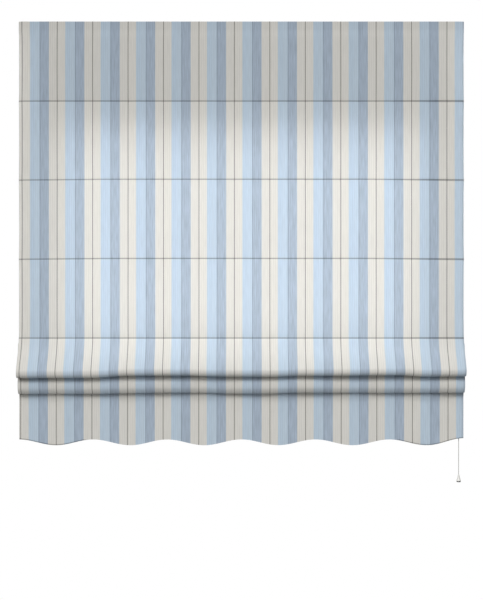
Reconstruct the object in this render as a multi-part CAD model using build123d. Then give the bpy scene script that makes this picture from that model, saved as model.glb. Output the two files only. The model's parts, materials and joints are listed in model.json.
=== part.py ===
from build123d import *
import math
import os

# Roman blind, in millimetres.
# +X is to the right seen from the front, +Y runs to the wall, +Z is up.
# The origin is midway between the two wall screw holes, on the wall's face.

# Cloth
CLOTH_WIDTH = 1300.0
CLOTH_THICKNESS = 1.0
CLOTH_ABOVE_RAIL = 3.0
SECTION_HEIGHT = 231.0
SECTION_COUNT = 4
HEADER_HEIGHT = 30.0
BILLOW = 6.0
SEAM_RADIUS = 3.0
FOLD_1_DROP = 112.0
FOLD_1_FORWARD = 43.5
FOLD_1_OUT_SHARES = (0.218, 0.81, 1.0, 0.931, 0.735)
FOLD_1_DOWN_SHARES = (0.278, 0.69, 0.834, 0.937, 1.0)
FOLD_2_DROP = 162.0
FOLD_2_FORWARD = 18.5
FOLD_2_OUT_SHARES = (1.0, 0.897, 0.595, 0.378, 0.173)
FOLD_2_DOWN_SHARES = (0.834, 0.92, 0.975, 1.0, 1.0)
FOLD_GAP = 2.0
BEND_SHARE = 0.45
CREST_GAP = 3.2
CREST_RISE = 3.5
CREST_CORNER_SHARE = 0.46
NECK_FLAT = 7.0
VALANCE_SETBACK = 1.0
HEM_DEPTH = 1237.5
SCALLOP_HEIGHT = 17.0
SCALLOP_COUNT = 6
SCALLOP_STEPS = 4

# Wall brackets and their twist latches
BRACKET_INSET = 200.0
SCREW_HOLE_RADIUS = 2.5
BRACKET_WIDTH = 40.0
BRACKET_THICKNESS = 2.0
BRACKET_LEG_BELOW = 15.0
BRACKET_REACH = 34.0
BRACKET_BEND_RADIUS = 3.5
BRACKET_CORNER_RADIUS = 8.0
CEILING_HOLE_FROM_WALL = 8.0
LATCH_NECK_RADIUS = 3.5
LATCH_PLAY = 0.2
LATCH_FOOT_WIDTH = 9.0
LATCH_FOOT_LENGTH = 19.0
LATCH_FOOT_HEIGHT = 2.8
LATCH_DISC_RADIUS = 6.0
LATCH_LEVER_LENGTH = 19.0
LATCH_LEVER_WIDTH = 8.0
LATCH_LEVER_THICKNESS = 2.0

# Headrail
RAIL_TOP = 15.0
RAIL_HEIGHT = 24.0
RAIL_DEPTH = 25.0
RAIL_FROM_WALL = 13.0
RAIL_WALL = 1.5
RAIL_EDGE_RADIUS = 1.2
TOP_GROOVE_HEIGHT = 4.0
TOP_GROOVE_SLOT = 10.0
RAIL_END_INSET = 6.0
CAP_PLATE = 2.0
CAP_PLUG_LENGTH = 9.0
CAP_PLUG_WALL = 1.6
PLUG_FIT = 0.2

# Hook and loop tapes
TAPE_HEIGHT = 20.0
TAPE_THICKNESS = 1.2
TAPE_INSET = 10.0

# Cords and the rollers that carry them
LIFT_CORD_RADIUS = 0.7
CORD_LANE = 2.2
COLUMN_INSET = 90.0
ROLLER_RADIUS = 5.0
ROLLER_RIM_RADIUS = 6.0
ROLLER_RIM = 0.7
ROLLER_WIDTH = 8.2
ROLLER_SIDE_PLAY = 0.4
ROLLER_BORE_PLAY = 0.1
ROLLER_BELOW_WEB = 7.0
AXLE_RADIUS = 1.25
AXLE_FIT = 0.05
GUIDE_CHEEK = 1.3
GUIDE_SLOT_FIT = 0.2
GUIDE_LENGTH = 24.0
GUIDE_FLANGE = 1.5
GUIDE_FLANGE_DEPTH = 18.0
GUIDE_CROWN = 3.0
GUIDE_CORNER_RADIUS = 2.0
GUIDE_SHOULDER_SHARE = 0.45
GUIDE_EAR_LENGTH = 8.0
GUIDE_EAR_OUT = 1.3
GUIDE_EAR_HEIGHT = 1.6
GUIDE_MOUTH_LENGTH = 6.0
GUIDE_MOUTH_DEPTH = 7.4

# Cord lock
LOCK_LENGTH = 30.0
LOCK_RIGHT_INSET = 2.0
LOCK_END_WALL = 1.6
LOCK_CHEEK = 4.0
LOCK_ROOF = 4.0
LOCK_PLUG_LENGTH = 10.0
LOCK_PLUG_WALL = 1.6
LOCK_ROLLER_END_PLAY = 0.4
LOCK_PIN_RADIUS = 1.5
LOCK_PIN_REACH = 3.0
PULL_FROM_EDGE = 13.0
GRIP_RADIUS = 3.0
GRIP_RIB_COUNT = 16
GRIP_RIB_DEPTH = 0.4
GRIP_RIB_WIDTH = 0.6
GRIP_JOURNAL_RADIUS = 1.5
GRIP_JOURNAL_LENGTH = 2.0
GRIP_SLOT_PLAY = 0.2
GRIP_CORD_GAP = 0.3
GRIP_DROP = 1.5
GRIP_TRAVEL_OUT = 1.75
GRIP_TRAVEL_DOWN = 3.0

# Stay rods in their pocket strips, and the rings sewn to these
ROD_RADIUS = 2.0
ROD_PLAY = 0.3
POCKET_WALL = 1.0
POCKET_NECK = 2.0
POCKET_NECK_LENGTH = 1.5
POCKET_INSET = 8.0
ROD_END_INSET = 3.0
SEW_GAP = 0.1
ROD_5_DROP = 20.0
RING_RADIUS = 5.4
RING_WIRE_RADIUS = 1.0

# Bottom bar in its flat pocket, with caps and cord adjusters
BAR_SEAM_DROP = 46.0
BAR_HEIGHT = 20.0
BAR_THICKNESS = 3.0
BAR_PLAY = 0.3
BAR_POCKET_INSET = 14.0
BAR_POCKET_RADIUS = 1.4
BAR_OUT = 6.0
BAR_EDGE_RADIUS = 1.0
BAR_CAP_WALL = 1.6
BAR_CAP_END = 1.6
BAR_CAP_GAP = 0.6
BAR_CAP_PLAY = 0.15
ADJUSTER_WIDTH = 15.0
ADJUSTER_DEPTH = 12.0
ADJUSTER_HEIGHT = 18.0
ADJUSTER_CORNER_RADIUS = 4.0
ADJUSTER_EDGE_RADIUS = 1.2
ADJUSTER_BORE_PLAY = 0.25
ADJUSTER_CORD_SHARE = 0.55
ADJUSTER_CLAMP_WIDTH = 6.0
ADJUSTER_CLAMP_DEPTH = 1.6

# Connector between lift cords and pull cord
CONNECTOR_DROP = 545.0
CONNECTOR_RADIUS = 6.0
CONNECTOR_TOP_LENGTH = 22.0
CONNECTOR_BOTTOM_LENGTH = 20.0
CONNECTOR_WALL = 1.4
CONNECTOR_TAPER = 2.4
CONNECTOR_SPIGOT = 5.0
CONNECTOR_FIT = 0.15
CONNECTOR_CORD_PLAY = 0.3
LIFT_CORD_IN_CONNECTOR = 9.0

# Pull cord with its bell
PULL_CORD_RADIUS = 1.0
PULL_KNOT_RADIUS = 2.2
PULL_CORD_PLAY = 0.2
BELL_TOP_DEPTH = 1325.0
BELL_HEIGHT = 21.0
BELL_TOP_RADIUS = 2.8
BELL_WAIST_RADIUS = 4.0
BELL_WAIST_SHARE = 0.45
BELL_MOUTH_RADIUS = 6.8
BELL_LIP = 1.6
BELL_WALL = 1.2
BELL_ROOF = 3.0
BELL_BASE_HEIGHT = 3.2
BELL_BASE_RADIUS = 5.9
BELL_BASE_FIT = 0.15
BELL_SPIGOT_WALL = 1.2

# One overrun for every cut
OVERRUN = 1.0

# Places worked out from the sizes above
HALF_WIDTH = CLOTH_WIDTH / 2
RAIL_BACK_Y = -RAIL_FROM_WALL
RAIL_FRONT_Y = RAIL_BACK_Y - RAIL_DEPTH
RAIL_MID_Y = RAIL_BACK_Y - RAIL_DEPTH / 2
RAIL_BOTTOM = RAIL_TOP - RAIL_HEIGHT
RAIL_LEFT = -HALF_WIDTH + RAIL_END_INSET
LOCK_RIGHT = HALF_WIDTH - LOCK_RIGHT_INSET
LOCK_LEFT = LOCK_RIGHT - LOCK_LENGTH
CLOTH_BACK_Y = RAIL_FRONT_Y - 2 * TAPE_THICKNESS
CLOTH_MID_Y = CLOTH_BACK_Y - CLOTH_THICKNESS / 2
CLOTH_TOP = RAIL_TOP + CLOTH_ABOVE_RAIL
SEAM_HEIGHTS = [CLOTH_TOP - SECTION_HEIGHT * (i + 1) for i in range(SECTION_COUNT)]
SEAM_4 = SEAM_HEIGHTS[-1]
ROD_5_Z = SEAM_4 - ROD_5_DROP
BAR_SEAM_Z = SEAM_4 - BAR_SEAM_DROP
TUBE_RADIUS = ROD_RADIUS + ROD_PLAY + POCKET_WALL
ROD_Y = CLOTH_BACK_Y + SEW_GAP + POCKET_NECK_LENGTH + TUBE_RADIUS
CORD_Y = ROD_Y + TUBE_RADIUS + SEW_GAP + RING_RADIUS + RING_WIRE_RADIUS
LANES = {"left": CORD_Y - CORD_LANE, "centre": CORD_Y, "right": CORD_Y + CORD_LANE}
COLUMN_X = HALF_WIDTH - COLUMN_INSET
COLUMNS = {"left": -COLUMN_X, "centre": 0.0, "right": COLUMN_X}
GROOVE_TOP = RAIL_TOP - RAIL_WALL
GROOVE_FLOOR = GROOVE_TOP - TOP_GROOVE_HEIGHT
CHAMBER_TOP = GROOVE_FLOOR - RAIL_WALL
CHAMBER_FLOOR = RAIL_BOTTOM + RAIL_WALL
CHAMBER_DEPTH = RAIL_DEPTH - 2 * RAIL_WALL
ROLLER_Z = CHAMBER_TOP - ROLLER_BELOW_WEB
ROLLER_TURN = ROLLER_RADIUS + LIFT_CORD_RADIUS
CORD_TOP_Z = ROLLER_Z + ROLLER_TURN
GUIDE_HALF = ROLLER_WIDTH / 2 + ROLLER_SIDE_PLAY + GUIDE_CHEEK
CORD_SLOT = 2 * (GUIDE_HALF + GUIDE_SLOT_FIT)
PULL_X = HALF_WIDTH - PULL_FROM_EDGE
LOCK_ROLLER_X = PULL_X - ROLLER_TURN
BAR_POCKET_WALL_Y = CLOTH_BACK_Y + VALANCE_SETBACK + SEW_GAP + POCKET_NECK_LENGTH
BAR_Y = BAR_POCKET_WALL_Y + POCKET_WALL + BAR_PLAY + BAR_THICKNESS / 2
BAR_POCKET_BACK_Y = BAR_Y + BAR_THICKNESS / 2 + BAR_PLAY + POCKET_WALL
BAR_POCKET_HEIGHT = BAR_HEIGHT + 2 * (BAR_PLAY + POCKET_WALL)
BAR_Z = BAR_SEAM_Z + POCKET_NECK / 2 + BAR_POCKET_RADIUS - BAR_POCKET_HEIGHT / 2
CONNECTOR_TOP_Z = RAIL_BOTTOM - CONNECTOR_DROP
CONNECTOR_SPLIT_Z = CONNECTOR_TOP_Z - CONNECTOR_TOP_LENGTH
CONNECTOR_BOTTOM_Z = CONNECTOR_SPLIT_Z - CONNECTOR_BOTTOM_LENGTH
BELL_TOP = CLOTH_TOP - BELL_TOP_DEPTH
BELL_BOTTOM = BELL_TOP - BELL_HEIGHT


def block(x_low, x_high, y_low, y_high, z_low, z_high):
    """A box between two values on each axis."""
    size = (x_high - x_low, y_high - y_low, z_high - z_low)
    middle = ((x_low + x_high) / 2, (y_low + y_high) / 2, (z_low + z_high) / 2)
    return Pos(*middle) * Box(*size)


def rod_along_x(radius, length, y, z):
    """A round bar along X, centred on the blind."""
    return Pos(0, y, z) * Rot(0, 90, 0) * Cylinder(radius, length)


def rod_along_y(radius, y_low, y_high, x, z):
    """A round bar along Y between two places."""
    return Pos(x, (y_low + y_high) / 2, z) * Rot(90, 0, 0) * Cylinder(radius, y_high - y_low)


def rod_along_z(radius, z_low, z_high, x, y):
    """A round bar along Z between two heights."""
    return Pos(x, y, (z_low + z_high) / 2) * Cylinder(radius, z_high - z_low)


def across(sketch, x_low, x_high):
    """Run a section, drawn with Y across and Z up, along X."""
    return extrude(Plane((x_low, 0, 0), x_dir=(0, 1, 0), z_dir=(1, 0, 0)) * sketch, x_high - x_low)


def turn_at(points, i):
    """The signed angle that a line turns through at one of its points."""
    (ay, az), (by, bz), (cy, cz) = points[i - 1], points[i], points[i + 1]
    first = math.atan2(bz - az, by - ay)
    second = math.atan2(cz - bz, cy - by)
    return math.remainder(second - first, 2 * math.pi)


def side_of(points, offset):
    """The line moved sideways by an offset, positive to the left of its run."""
    normals = []
    for (ay, az), (by, bz) in zip(points, points[1:]):
        run = math.hypot(by - ay, bz - az)
        normals.append(((az - bz) / run, (by - ay) / run))
    moved = []
    for i, (y, z) in enumerate(points):
        before = normals[max(i - 1, 0)]
        after = normals[min(i, len(normals) - 1)]
        spread = 1 + before[0] * after[0] + before[1] * after[1]
        lean = (before[0] + after[0], before[1] + after[1])
        moved.append((y + offset * lean[0] / spread, z + offset * lean[1] / spread))
    return moved


def strip_face(points, radii, thickness):
    """The section of a sheet that follows a line, rounded at its inner points."""
    half = thickness / 2
    signs = [math.copysign(half, turn_at(points, i)) for i in range(1, len(points) - 1)]
    left = [r - s for r, s in zip(radii, signs)]
    right = [r + s for r, s in zip(radii, signs)]
    outline = side_of(points, half) + side_of(points, -half)[::-1]
    corners = [0.0] + left + [0.0, 0.0] + right[::-1] + [0.0]
    return make_face(FilletPolyline(*outline, radius=corners, close=True))


def bend_radius(points, i):
    """A wide bend that takes up a share of the shorter run beside a point."""
    runs = [math.dist(points[i], points[j]) for j in (i - 1, i + 1)]
    return BEND_SHARE * min(runs) / math.tan(abs(turn_at(points, i)) / 2)


def fold_route(forward, drop, out_shares, down_shares):
    """The wide bends of one hanging fold, from the lowest seam's level to its lip."""
    low = drop - CLOTH_THICKNESS / 2
    shares = zip(out_shares, down_shares)
    return [(CLOTH_MID_Y - forward * out, SEAM_4 - low * down, None) for out, down in shares]


def cloth_line():
    """The cloth's middle line from top to hem: points, and a radius at each inner one."""
    route = [(CLOTH_MID_Y, CLOTH_TOP, 0.0), (CLOTH_MID_Y, CLOTH_TOP - HEADER_HEIGHT, None)]
    for seam in SEAM_HEIGHTS:
        route.append((CLOTH_MID_Y - BILLOW, (route[-1][1] + seam) / 2, None))
        route.append((CLOTH_MID_Y, seam, SEAM_RADIUS))
    crest_1 = ROD_5_Z + CREST_RISE
    crest_2 = BAR_SEAM_Z + CREST_RISE
    lip_1 = SEAM_4 - FOLD_1_DROP + CLOTH_THICKNESS / 2
    valance = CLOTH_MID_Y + VALANCE_SETBACK
    crest_radius = CREST_GAP * CREST_CORNER_SHARE
    route += fold_route(FOLD_1_FORWARD, FOLD_1_DROP, FOLD_1_OUT_SHARES, FOLD_1_DOWN_SHARES)
    route += [
        (CLOTH_MID_Y - FOLD_2_FORWARD - FOLD_GAP, lip_1, None),
        (CLOTH_MID_Y - CREST_GAP, crest_1, crest_radius),
        (CLOTH_MID_Y, crest_1, crest_radius),
        (CLOTH_MID_Y, ROD_5_Z - NECK_FLAT, None),
        (CLOTH_MID_Y - CREST_GAP - FOLD_GAP, BAR_SEAM_Z, None),
    ]
    route += fold_route(FOLD_2_FORWARD, FOLD_2_DROP, FOLD_2_OUT_SHARES, FOLD_2_DOWN_SHARES)
    route += [
        (valance - CREST_GAP, crest_2, crest_radius),
        (valance, crest_2, crest_radius),
        (valance, CLOTH_TOP - HEM_DEPTH, 0.0),
    ]
    points = [(y, z) for y, z, _ in route]
    radii = []
    for i, (_, _, radius) in enumerate(route[1:-1], start=1):
        radii.append(bend_radius(points, i) if radius is None else radius)
    return points, radii


def hem_cutter():
    """What is cut away below the scalloped hem."""
    low = CLOTH_TOP - HEM_DEPTH
    count = SCALLOP_COUNT * SCALLOP_STEPS
    wave = []
    for i in range(count + 1):
        rise = (1 + math.cos(2 * math.pi * i / SCALLOP_STEPS)) / 2
        wave.append((-HALF_WIDTH + CLOTH_WIDTH * i / count, low + SCALLOP_HEIGHT * rise))
    edge = Spline(*wave)
    right = HALF_WIDTH + OVERRUN
    floor = low - OVERRUN
    crest = low + SCALLOP_HEIGHT
    rim = Polyline(wave[-1], (right, crest), (right, floor), (-right, floor), (-right, crest), wave[0])
    face = Plane.XZ * make_face(edge + rim)
    depth = CLOTH_THICKNESS + OVERRUN
    return Pos(0, CLOTH_MID_Y + VALANCE_SETBACK, 0) * extrude(face, depth, both=True)


def make_cloth():
    """The whole cloth as one folded sheet."""
    points, radii = cloth_line()
    sheet = across(strip_face(points, radii, CLOTH_THICKNESS), -HALF_WIDTH, HALF_WIDTH)
    return sheet - hem_cutter()


def make_headrail():
    """Channel with a T groove on top and a cord chamber that is open below."""
    middle = (RAIL_TOP + RAIL_BOTTOM) / 2
    section = Pos(RAIL_MID_Y, middle) * RectangleRounded(RAIL_DEPTH, RAIL_HEIGHT, RAIL_EDGE_RADIUS)
    groove_z = (GROOVE_TOP + GROOVE_FLOOR) / 2
    section -= Pos(RAIL_MID_Y, groove_z) * Rectangle(CHAMBER_DEPTH, TOP_GROOVE_HEIGHT)
    section -= Pos(RAIL_MID_Y, RAIL_TOP) * Rectangle(TOP_GROOVE_SLOT, 2 * RAIL_WALL + OVERRUN)
    chamber_z = (CHAMBER_TOP + CHAMBER_FLOOR) / 2
    section -= Pos(RAIL_MID_Y, chamber_z) * Rectangle(CHAMBER_DEPTH, CHAMBER_TOP - CHAMBER_FLOOR)
    section -= Pos(CORD_Y, RAIL_BOTTOM) * Rectangle(CORD_SLOT, 2 * RAIL_WALL + OVERRUN)
    return across(section, RAIL_LEFT, LOCK_LEFT)


def chamber_plug(x_low, x_high, wall):
    """A U-shaped plug that fits the rail's cord chamber, open above for the cords."""
    y_low = RAIL_FRONT_Y + RAIL_WALL + PLUG_FIT
    y_high = RAIL_BACK_Y - RAIL_WALL - PLUG_FIT
    z_low = CHAMBER_FLOOR + PLUG_FIT
    z_high = CHAMBER_TOP - PLUG_FIT
    plug = block(x_low, x_high, y_low, y_high, z_low, z_high)
    hollow = block(
        x_low - OVERRUN, x_high + OVERRUN, y_low + wall, y_high - wall, z_low + wall, z_high + OVERRUN
    )
    return plug - hollow


def make_end_cap():
    """Moulded cap on the rail's left end."""
    plate = across(
        Pos(RAIL_MID_Y, (RAIL_TOP + RAIL_BOTTOM) / 2)
        * RectangleRounded(RAIL_DEPTH, RAIL_HEIGHT, RAIL_EDGE_RADIUS),
        RAIL_LEFT - CAP_PLATE,
        RAIL_LEFT,
    )
    return plate + chamber_plug(RAIL_LEFT, RAIL_LEFT + CAP_PLUG_LENGTH, CAP_PLUG_WALL)


def make_bracket(x):
    """Pressed angle: a leg on the wall and a leg over the rail."""
    top = RAIL_TOP + BRACKET_THICKNESS
    half = BRACKET_THICKNESS / 2
    line = [(-half, -BRACKET_LEG_BELOW), (-half, top - half), (-BRACKET_REACH, top - half)]
    section = strip_face(line, [BRACKET_BEND_RADIUS - half], BRACKET_THICKNESS)
    angle = across(section, x - BRACKET_WIDTH / 2, x + BRACKET_WIDTH / 2)
    lower = angle.edges().filter_by(Axis.Y).group_by(Axis.Z)[0]
    front = angle.edges().filter_by(Axis.Z).group_by(Axis.Y)[0]
    angle = fillet(list(lower) + list(front), BRACKET_CORNER_RADIUS)
    angle -= rod_along_y(SCREW_HOLE_RADIUS, -BRACKET_THICKNESS - OVERRUN, OVERRUN, x, 0)
    low = RAIL_TOP - OVERRUN
    high = top + OVERRUN
    angle -= rod_along_z(SCREW_HOLE_RADIUS, low, high, x, -CEILING_HOLE_FROM_WALL)
    angle -= rod_along_z(LATCH_NECK_RADIUS + LATCH_PLAY, low, high, x, RAIL_MID_Y)
    return angle


def make_latch(x):
    """Twist latch: a lever above the bracket, a neck, and a foot across the rail's groove."""
    plate_top = RAIL_TOP + BRACKET_THICKNESS + LATCH_PLAY
    foot_top = GROOVE_TOP - LATCH_PLAY
    foot_bottom = foot_top - LATCH_FOOT_HEIGHT
    lever_top = plate_top + LATCH_LEVER_THICKNESS
    foot = extrude(Rot(0, 0, 90) * SlotOverall(LATCH_FOOT_LENGTH, LATCH_FOOT_WIDTH), LATCH_FOOT_HEIGHT)
    lever_tip = LATCH_LEVER_LENGTH - LATCH_LEVER_WIDTH / 2
    arm = Pos(0, lever_tip / 2) * Rectangle(LATCH_LEVER_WIDTH, lever_tip)
    lever = Circle(LATCH_DISC_RADIUS) + arm + Pos(0, lever_tip) * Circle(LATCH_LEVER_WIDTH / 2)
    latch = Pos(x, RAIL_MID_Y, foot_bottom) * foot
    latch += rod_along_z(LATCH_NECK_RADIUS, foot_bottom, lever_top, x, RAIL_MID_Y)
    latch += Pos(x, RAIL_MID_Y, plate_top) * extrude(lever, LATCH_LEVER_THICKNESS)
    return latch


def make_tape(y_front):
    """One tape of the hook and loop pair."""
    z_high = RAIL_TOP - (RAIL_HEIGHT - TAPE_HEIGHT) / 2
    half = HALF_WIDTH - TAPE_INSET
    return block(-half, half, y_front, y_front + TAPE_THICKNESS, z_high - TAPE_HEIGHT, z_high)


def make_roller(x, width, bore):
    """Roller that turns about Y, with a rim at each end."""
    half = width / 2
    wheel = rod_along_y(ROLLER_RADIUS, CORD_Y - half, CORD_Y + half, x, ROLLER_Z)
    for y in (CORD_Y - half, CORD_Y + half - ROLLER_RIM):
        wheel += rod_along_y(ROLLER_RIM_RADIUS, y, y + ROLLER_RIM, x, ROLLER_Z)
    return wheel - rod_along_y(bore, CORD_Y - half - OVERRUN, CORD_Y + half + OVERRUN, x, ROLLER_Z)


def make_guide(x):
    """Clip-in cord guide: a flange, two cheeks for the axle and snap ears."""
    half = GUIDE_LENGTH / 2
    low = RAIL_BOTTOM - GUIDE_FLANGE
    crown = ROLLER_Z + GUIDE_CROWN
    shoulder = RAIL_BOTTOM + (ROLLER_Z - RAIL_BOTTOM) * GUIDE_SHOULDER_SHARE
    outline = [(-half, low), (half, low), (half, shoulder), (GUIDE_CROWN, crown), (-GUIDE_CROWN, crown)]
    outline.append((-half, shoulder))
    corners = [0.0, 0.0] + [GUIDE_CORNER_RADIUS] * (len(outline) - 2)
    side = Plane.XZ * make_face(FilletPolyline(*outline, radius=corners, close=True))
    body = Pos(x, CORD_Y, 0) * extrude(side, GUIDE_HALF, both=True)
    gap = GUIDE_HALF - GUIDE_CHEEK
    past = half + OVERRUN
    body -= block(x - past, x + past, CORD_Y - gap, CORD_Y + gap, RAIL_BOTTOM, crown + OVERRUN)
    flange = GUIDE_FLANGE_DEPTH / 2
    body += block(x - half, x + half, CORD_Y - flange, CORD_Y + flange, low, RAIL_BOTTOM)
    ear = GUIDE_EAR_LENGTH / 2
    ear_low = CHAMBER_FLOOR + GUIDE_SLOT_FIT
    ear_y = GUIDE_HALF + GUIDE_EAR_OUT
    ears = block(x - ear, x + ear, CORD_Y - ear_y, CORD_Y + ear_y, ear_low, ear_low + GUIDE_EAR_HEIGHT)
    body += ears - block(x - half, x + half, CORD_Y - gap, CORD_Y + gap, RAIL_BOTTOM, crown)
    body -= rod_along_y(AXLE_RADIUS + AXLE_FIT, CORD_Y - half, CORD_Y + half, x, ROLLER_Z)
    mouth_x = x - ROLLER_TURN
    long = GUIDE_MOUTH_LENGTH / 2
    deep = GUIDE_MOUTH_DEPTH / 2
    return body - block(
        mouth_x - long, mouth_x + long, CORD_Y - deep, CORD_Y + deep, low - OVERRUN, RAIL_BOTTOM + OVERRUN
    )


def grip_place():
    """Where the grip roller sits while it holds the cords: X and Z."""
    return PULL_X + LIFT_CORD_RADIUS + GRIP_CORD_GAP + GRIP_RADIUS, ROLLER_Z - GRIP_DROP


def make_lock_housing():
    """Cord lock body: it ends the rail, carries the guide roller and lets the grip roller slide."""
    middle = (RAIL_TOP + RAIL_BOTTOM) / 2
    section = Pos(RAIL_MID_Y, middle) * RectangleRounded(RAIL_DEPTH, RAIL_HEIGHT, RAIL_EDGE_RADIUS)
    body = across(section, LOCK_LEFT, LOCK_RIGHT)
    y_low = RAIL_FRONT_Y + LOCK_CHEEK
    y_high = RAIL_BACK_Y - LOCK_CHEEK
    roof = RAIL_TOP - LOCK_ROOF
    body -= block(
        LOCK_LEFT + LOCK_END_WALL, LOCK_RIGHT - LOCK_END_WALL, y_low, y_high, RAIL_BOTTOM - OVERRUN, roof
    )
    floor = CHAMBER_FLOOR + PLUG_FIT + LOCK_PLUG_WALL
    body += chamber_plug(LOCK_LEFT - LOCK_PLUG_LENGTH, LOCK_LEFT, LOCK_PLUG_WALL)
    window_high = CHAMBER_TOP - PLUG_FIT
    body -= block(LOCK_LEFT - OVERRUN, LOCK_LEFT + LOCK_LENGTH / 2, y_low, y_high, floor, window_high)
    pin_low = y_low - LOCK_PIN_REACH
    pin_high = y_high + LOCK_PIN_REACH
    body -= rod_along_y(LOCK_PIN_RADIUS + AXLE_FIT, pin_low, pin_high, LOCK_ROLLER_X, ROLLER_Z)
    reach = GRIP_JOURNAL_LENGTH + GRIP_SLOT_PLAY
    x, z = grip_place()
    travel = math.hypot(GRIP_TRAVEL_OUT, GRIP_TRAVEL_DOWN)
    slope = -math.degrees(math.atan2(GRIP_TRAVEL_DOWN, GRIP_TRAVEL_OUT))
    width = 2 * (GRIP_JOURNAL_RADIUS + GRIP_SLOT_PLAY)
    slot = Rot(0, 0, slope) * SlotCenterToCenter(travel, width)
    place = Pos(x + GRIP_TRAVEL_OUT / 2, z - GRIP_TRAVEL_DOWN / 2) * slot
    depth = (y_high - y_low) / 2 + reach
    return body - Pos(0, (y_low + y_high) / 2, 0) * extrude(Plane.XZ * place, depth, both=True)


def lock_roller_width():
    """The length of the rollers between the lock's cheeks."""
    return RAIL_DEPTH - 2 * (LOCK_CHEEK + LOCK_ROLLER_END_PLAY)


def make_lock_guide_roller():
    """Plain roller that turns the cords down in the lock."""
    half = lock_roller_width() / 2
    low = RAIL_MID_Y - half
    high = RAIL_MID_Y + half
    body = rod_along_y(ROLLER_RADIUS, low, high, LOCK_ROLLER_X, ROLLER_Z)
    bore = LOCK_PIN_RADIUS + ROLLER_BORE_PLAY
    return body - rod_along_y(bore, low - OVERRUN, high + OVERRUN, LOCK_ROLLER_X, ROLLER_Z)


def make_lock_pin():
    """Pin of the lock's guide roller."""
    reach = RAIL_DEPTH / 2 - LOCK_CHEEK + LOCK_PIN_REACH
    return rod_along_y(LOCK_PIN_RADIUS, RAIL_MID_Y - reach, RAIL_MID_Y + reach, LOCK_ROLLER_X, ROLLER_Z)


def make_grip_roller():
    """Ribbed roller with a journal at each end."""
    x, z = grip_place()
    half = lock_roller_width() / 2
    section = Circle(GRIP_RADIUS)
    for i in range(GRIP_RIB_COUNT):
        groove = Pos(GRIP_RADIUS, 0) * Rectangle(2 * GRIP_RIB_DEPTH, GRIP_RIB_WIDTH)
        section -= Rot(0, 0, 360 * i / GRIP_RIB_COUNT) * groove
    ribbed = Pos(x, RAIL_MID_Y, z) * extrude(Plane.XZ * section, half, both=True)
    reach = RAIL_DEPTH / 2 - LOCK_CHEEK + GRIP_JOURNAL_LENGTH
    return ribbed + rod_along_y(GRIP_JOURNAL_RADIUS, RAIL_MID_Y - reach, RAIL_MID_Y + reach, x, z)


def make_pocket(z):
    """Strip sewn on behind a seam, folded round to a tunnel for a stay rod."""
    front = CLOTH_BACK_Y + SEW_GAP
    neck = Pos((front + ROD_Y) / 2, z) * Rectangle(ROD_Y - front, POCKET_NECK)
    section = neck + Pos(ROD_Y, z) * Circle(TUBE_RADIUS)
    section -= Pos(ROD_Y, z) * Circle(ROD_RADIUS + ROD_PLAY)
    half = HALF_WIDTH - POCKET_INSET
    return across(section, -half, half)


def make_rod(z):
    """Stay rod in its tunnel."""
    return rod_along_x(ROD_RADIUS, CLOTH_WIDTH - 2 * (POCKET_INSET + ROD_END_INSET), ROD_Y, z)


def make_rings(z):
    """The three rings of one pocket strip."""
    rings = [Pos(x, CORD_Y, z) * Torus(RING_RADIUS, RING_WIRE_RADIUS) for x in COLUMNS.values()]
    return Compound(children=rings)


def make_bar_pocket():
    """Flat pocket for the bottom bar."""
    depth = BAR_POCKET_BACK_Y - BAR_POCKET_WALL_Y
    section = Pos(BAR_Y, BAR_Z) * RectangleRounded(depth, BAR_POCKET_HEIGHT, BAR_POCKET_RADIUS)
    front = BAR_POCKET_WALL_Y - POCKET_NECK_LENGTH
    neck = Pos((front + BAR_Y) / 2, BAR_SEAM_Z) * Rectangle(BAR_Y - front, POCKET_NECK)
    hollow = Rectangle(BAR_THICKNESS + 2 * BAR_PLAY, BAR_HEIGHT + 2 * BAR_PLAY)
    half = HALF_WIDTH - BAR_POCKET_INSET
    return across(section + neck - Pos(BAR_Y, BAR_Z) * hollow, -half, half)


def make_bottom_bar():
    """Flat bar with rounded edges."""
    half = HALF_WIDTH - BAR_POCKET_INSET + BAR_OUT
    section = Pos(BAR_Y, BAR_Z) * RectangleRounded(BAR_THICKNESS, BAR_HEIGHT, BAR_EDGE_RADIUS)
    return across(section, -half, half)


def make_bar_caps():
    """A cap over each end of the bottom bar."""
    end = HALF_WIDTH - BAR_POCKET_INSET
    deep = BAR_THICKNESS / 2 + BAR_CAP_PLAY
    tall = BAR_HEIGHT / 2 + BAR_CAP_PLAY
    tip = end + BAR_OUT + BAR_CAP_PLAY
    outer = RectangleRounded(2 * (deep + BAR_CAP_WALL), 2 * (tall + BAR_CAP_WALL), BAR_CAP_WALL)
    cap = across(Pos(BAR_Y, BAR_Z) * outer, end + BAR_CAP_GAP, tip + BAR_CAP_END)
    cap -= block(end, tip, BAR_Y - deep, BAR_Y + deep, BAR_Z - tall, BAR_Z + tall)
    return Compound(children=[cap, mirror(cap, Plane.YZ)])


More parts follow.
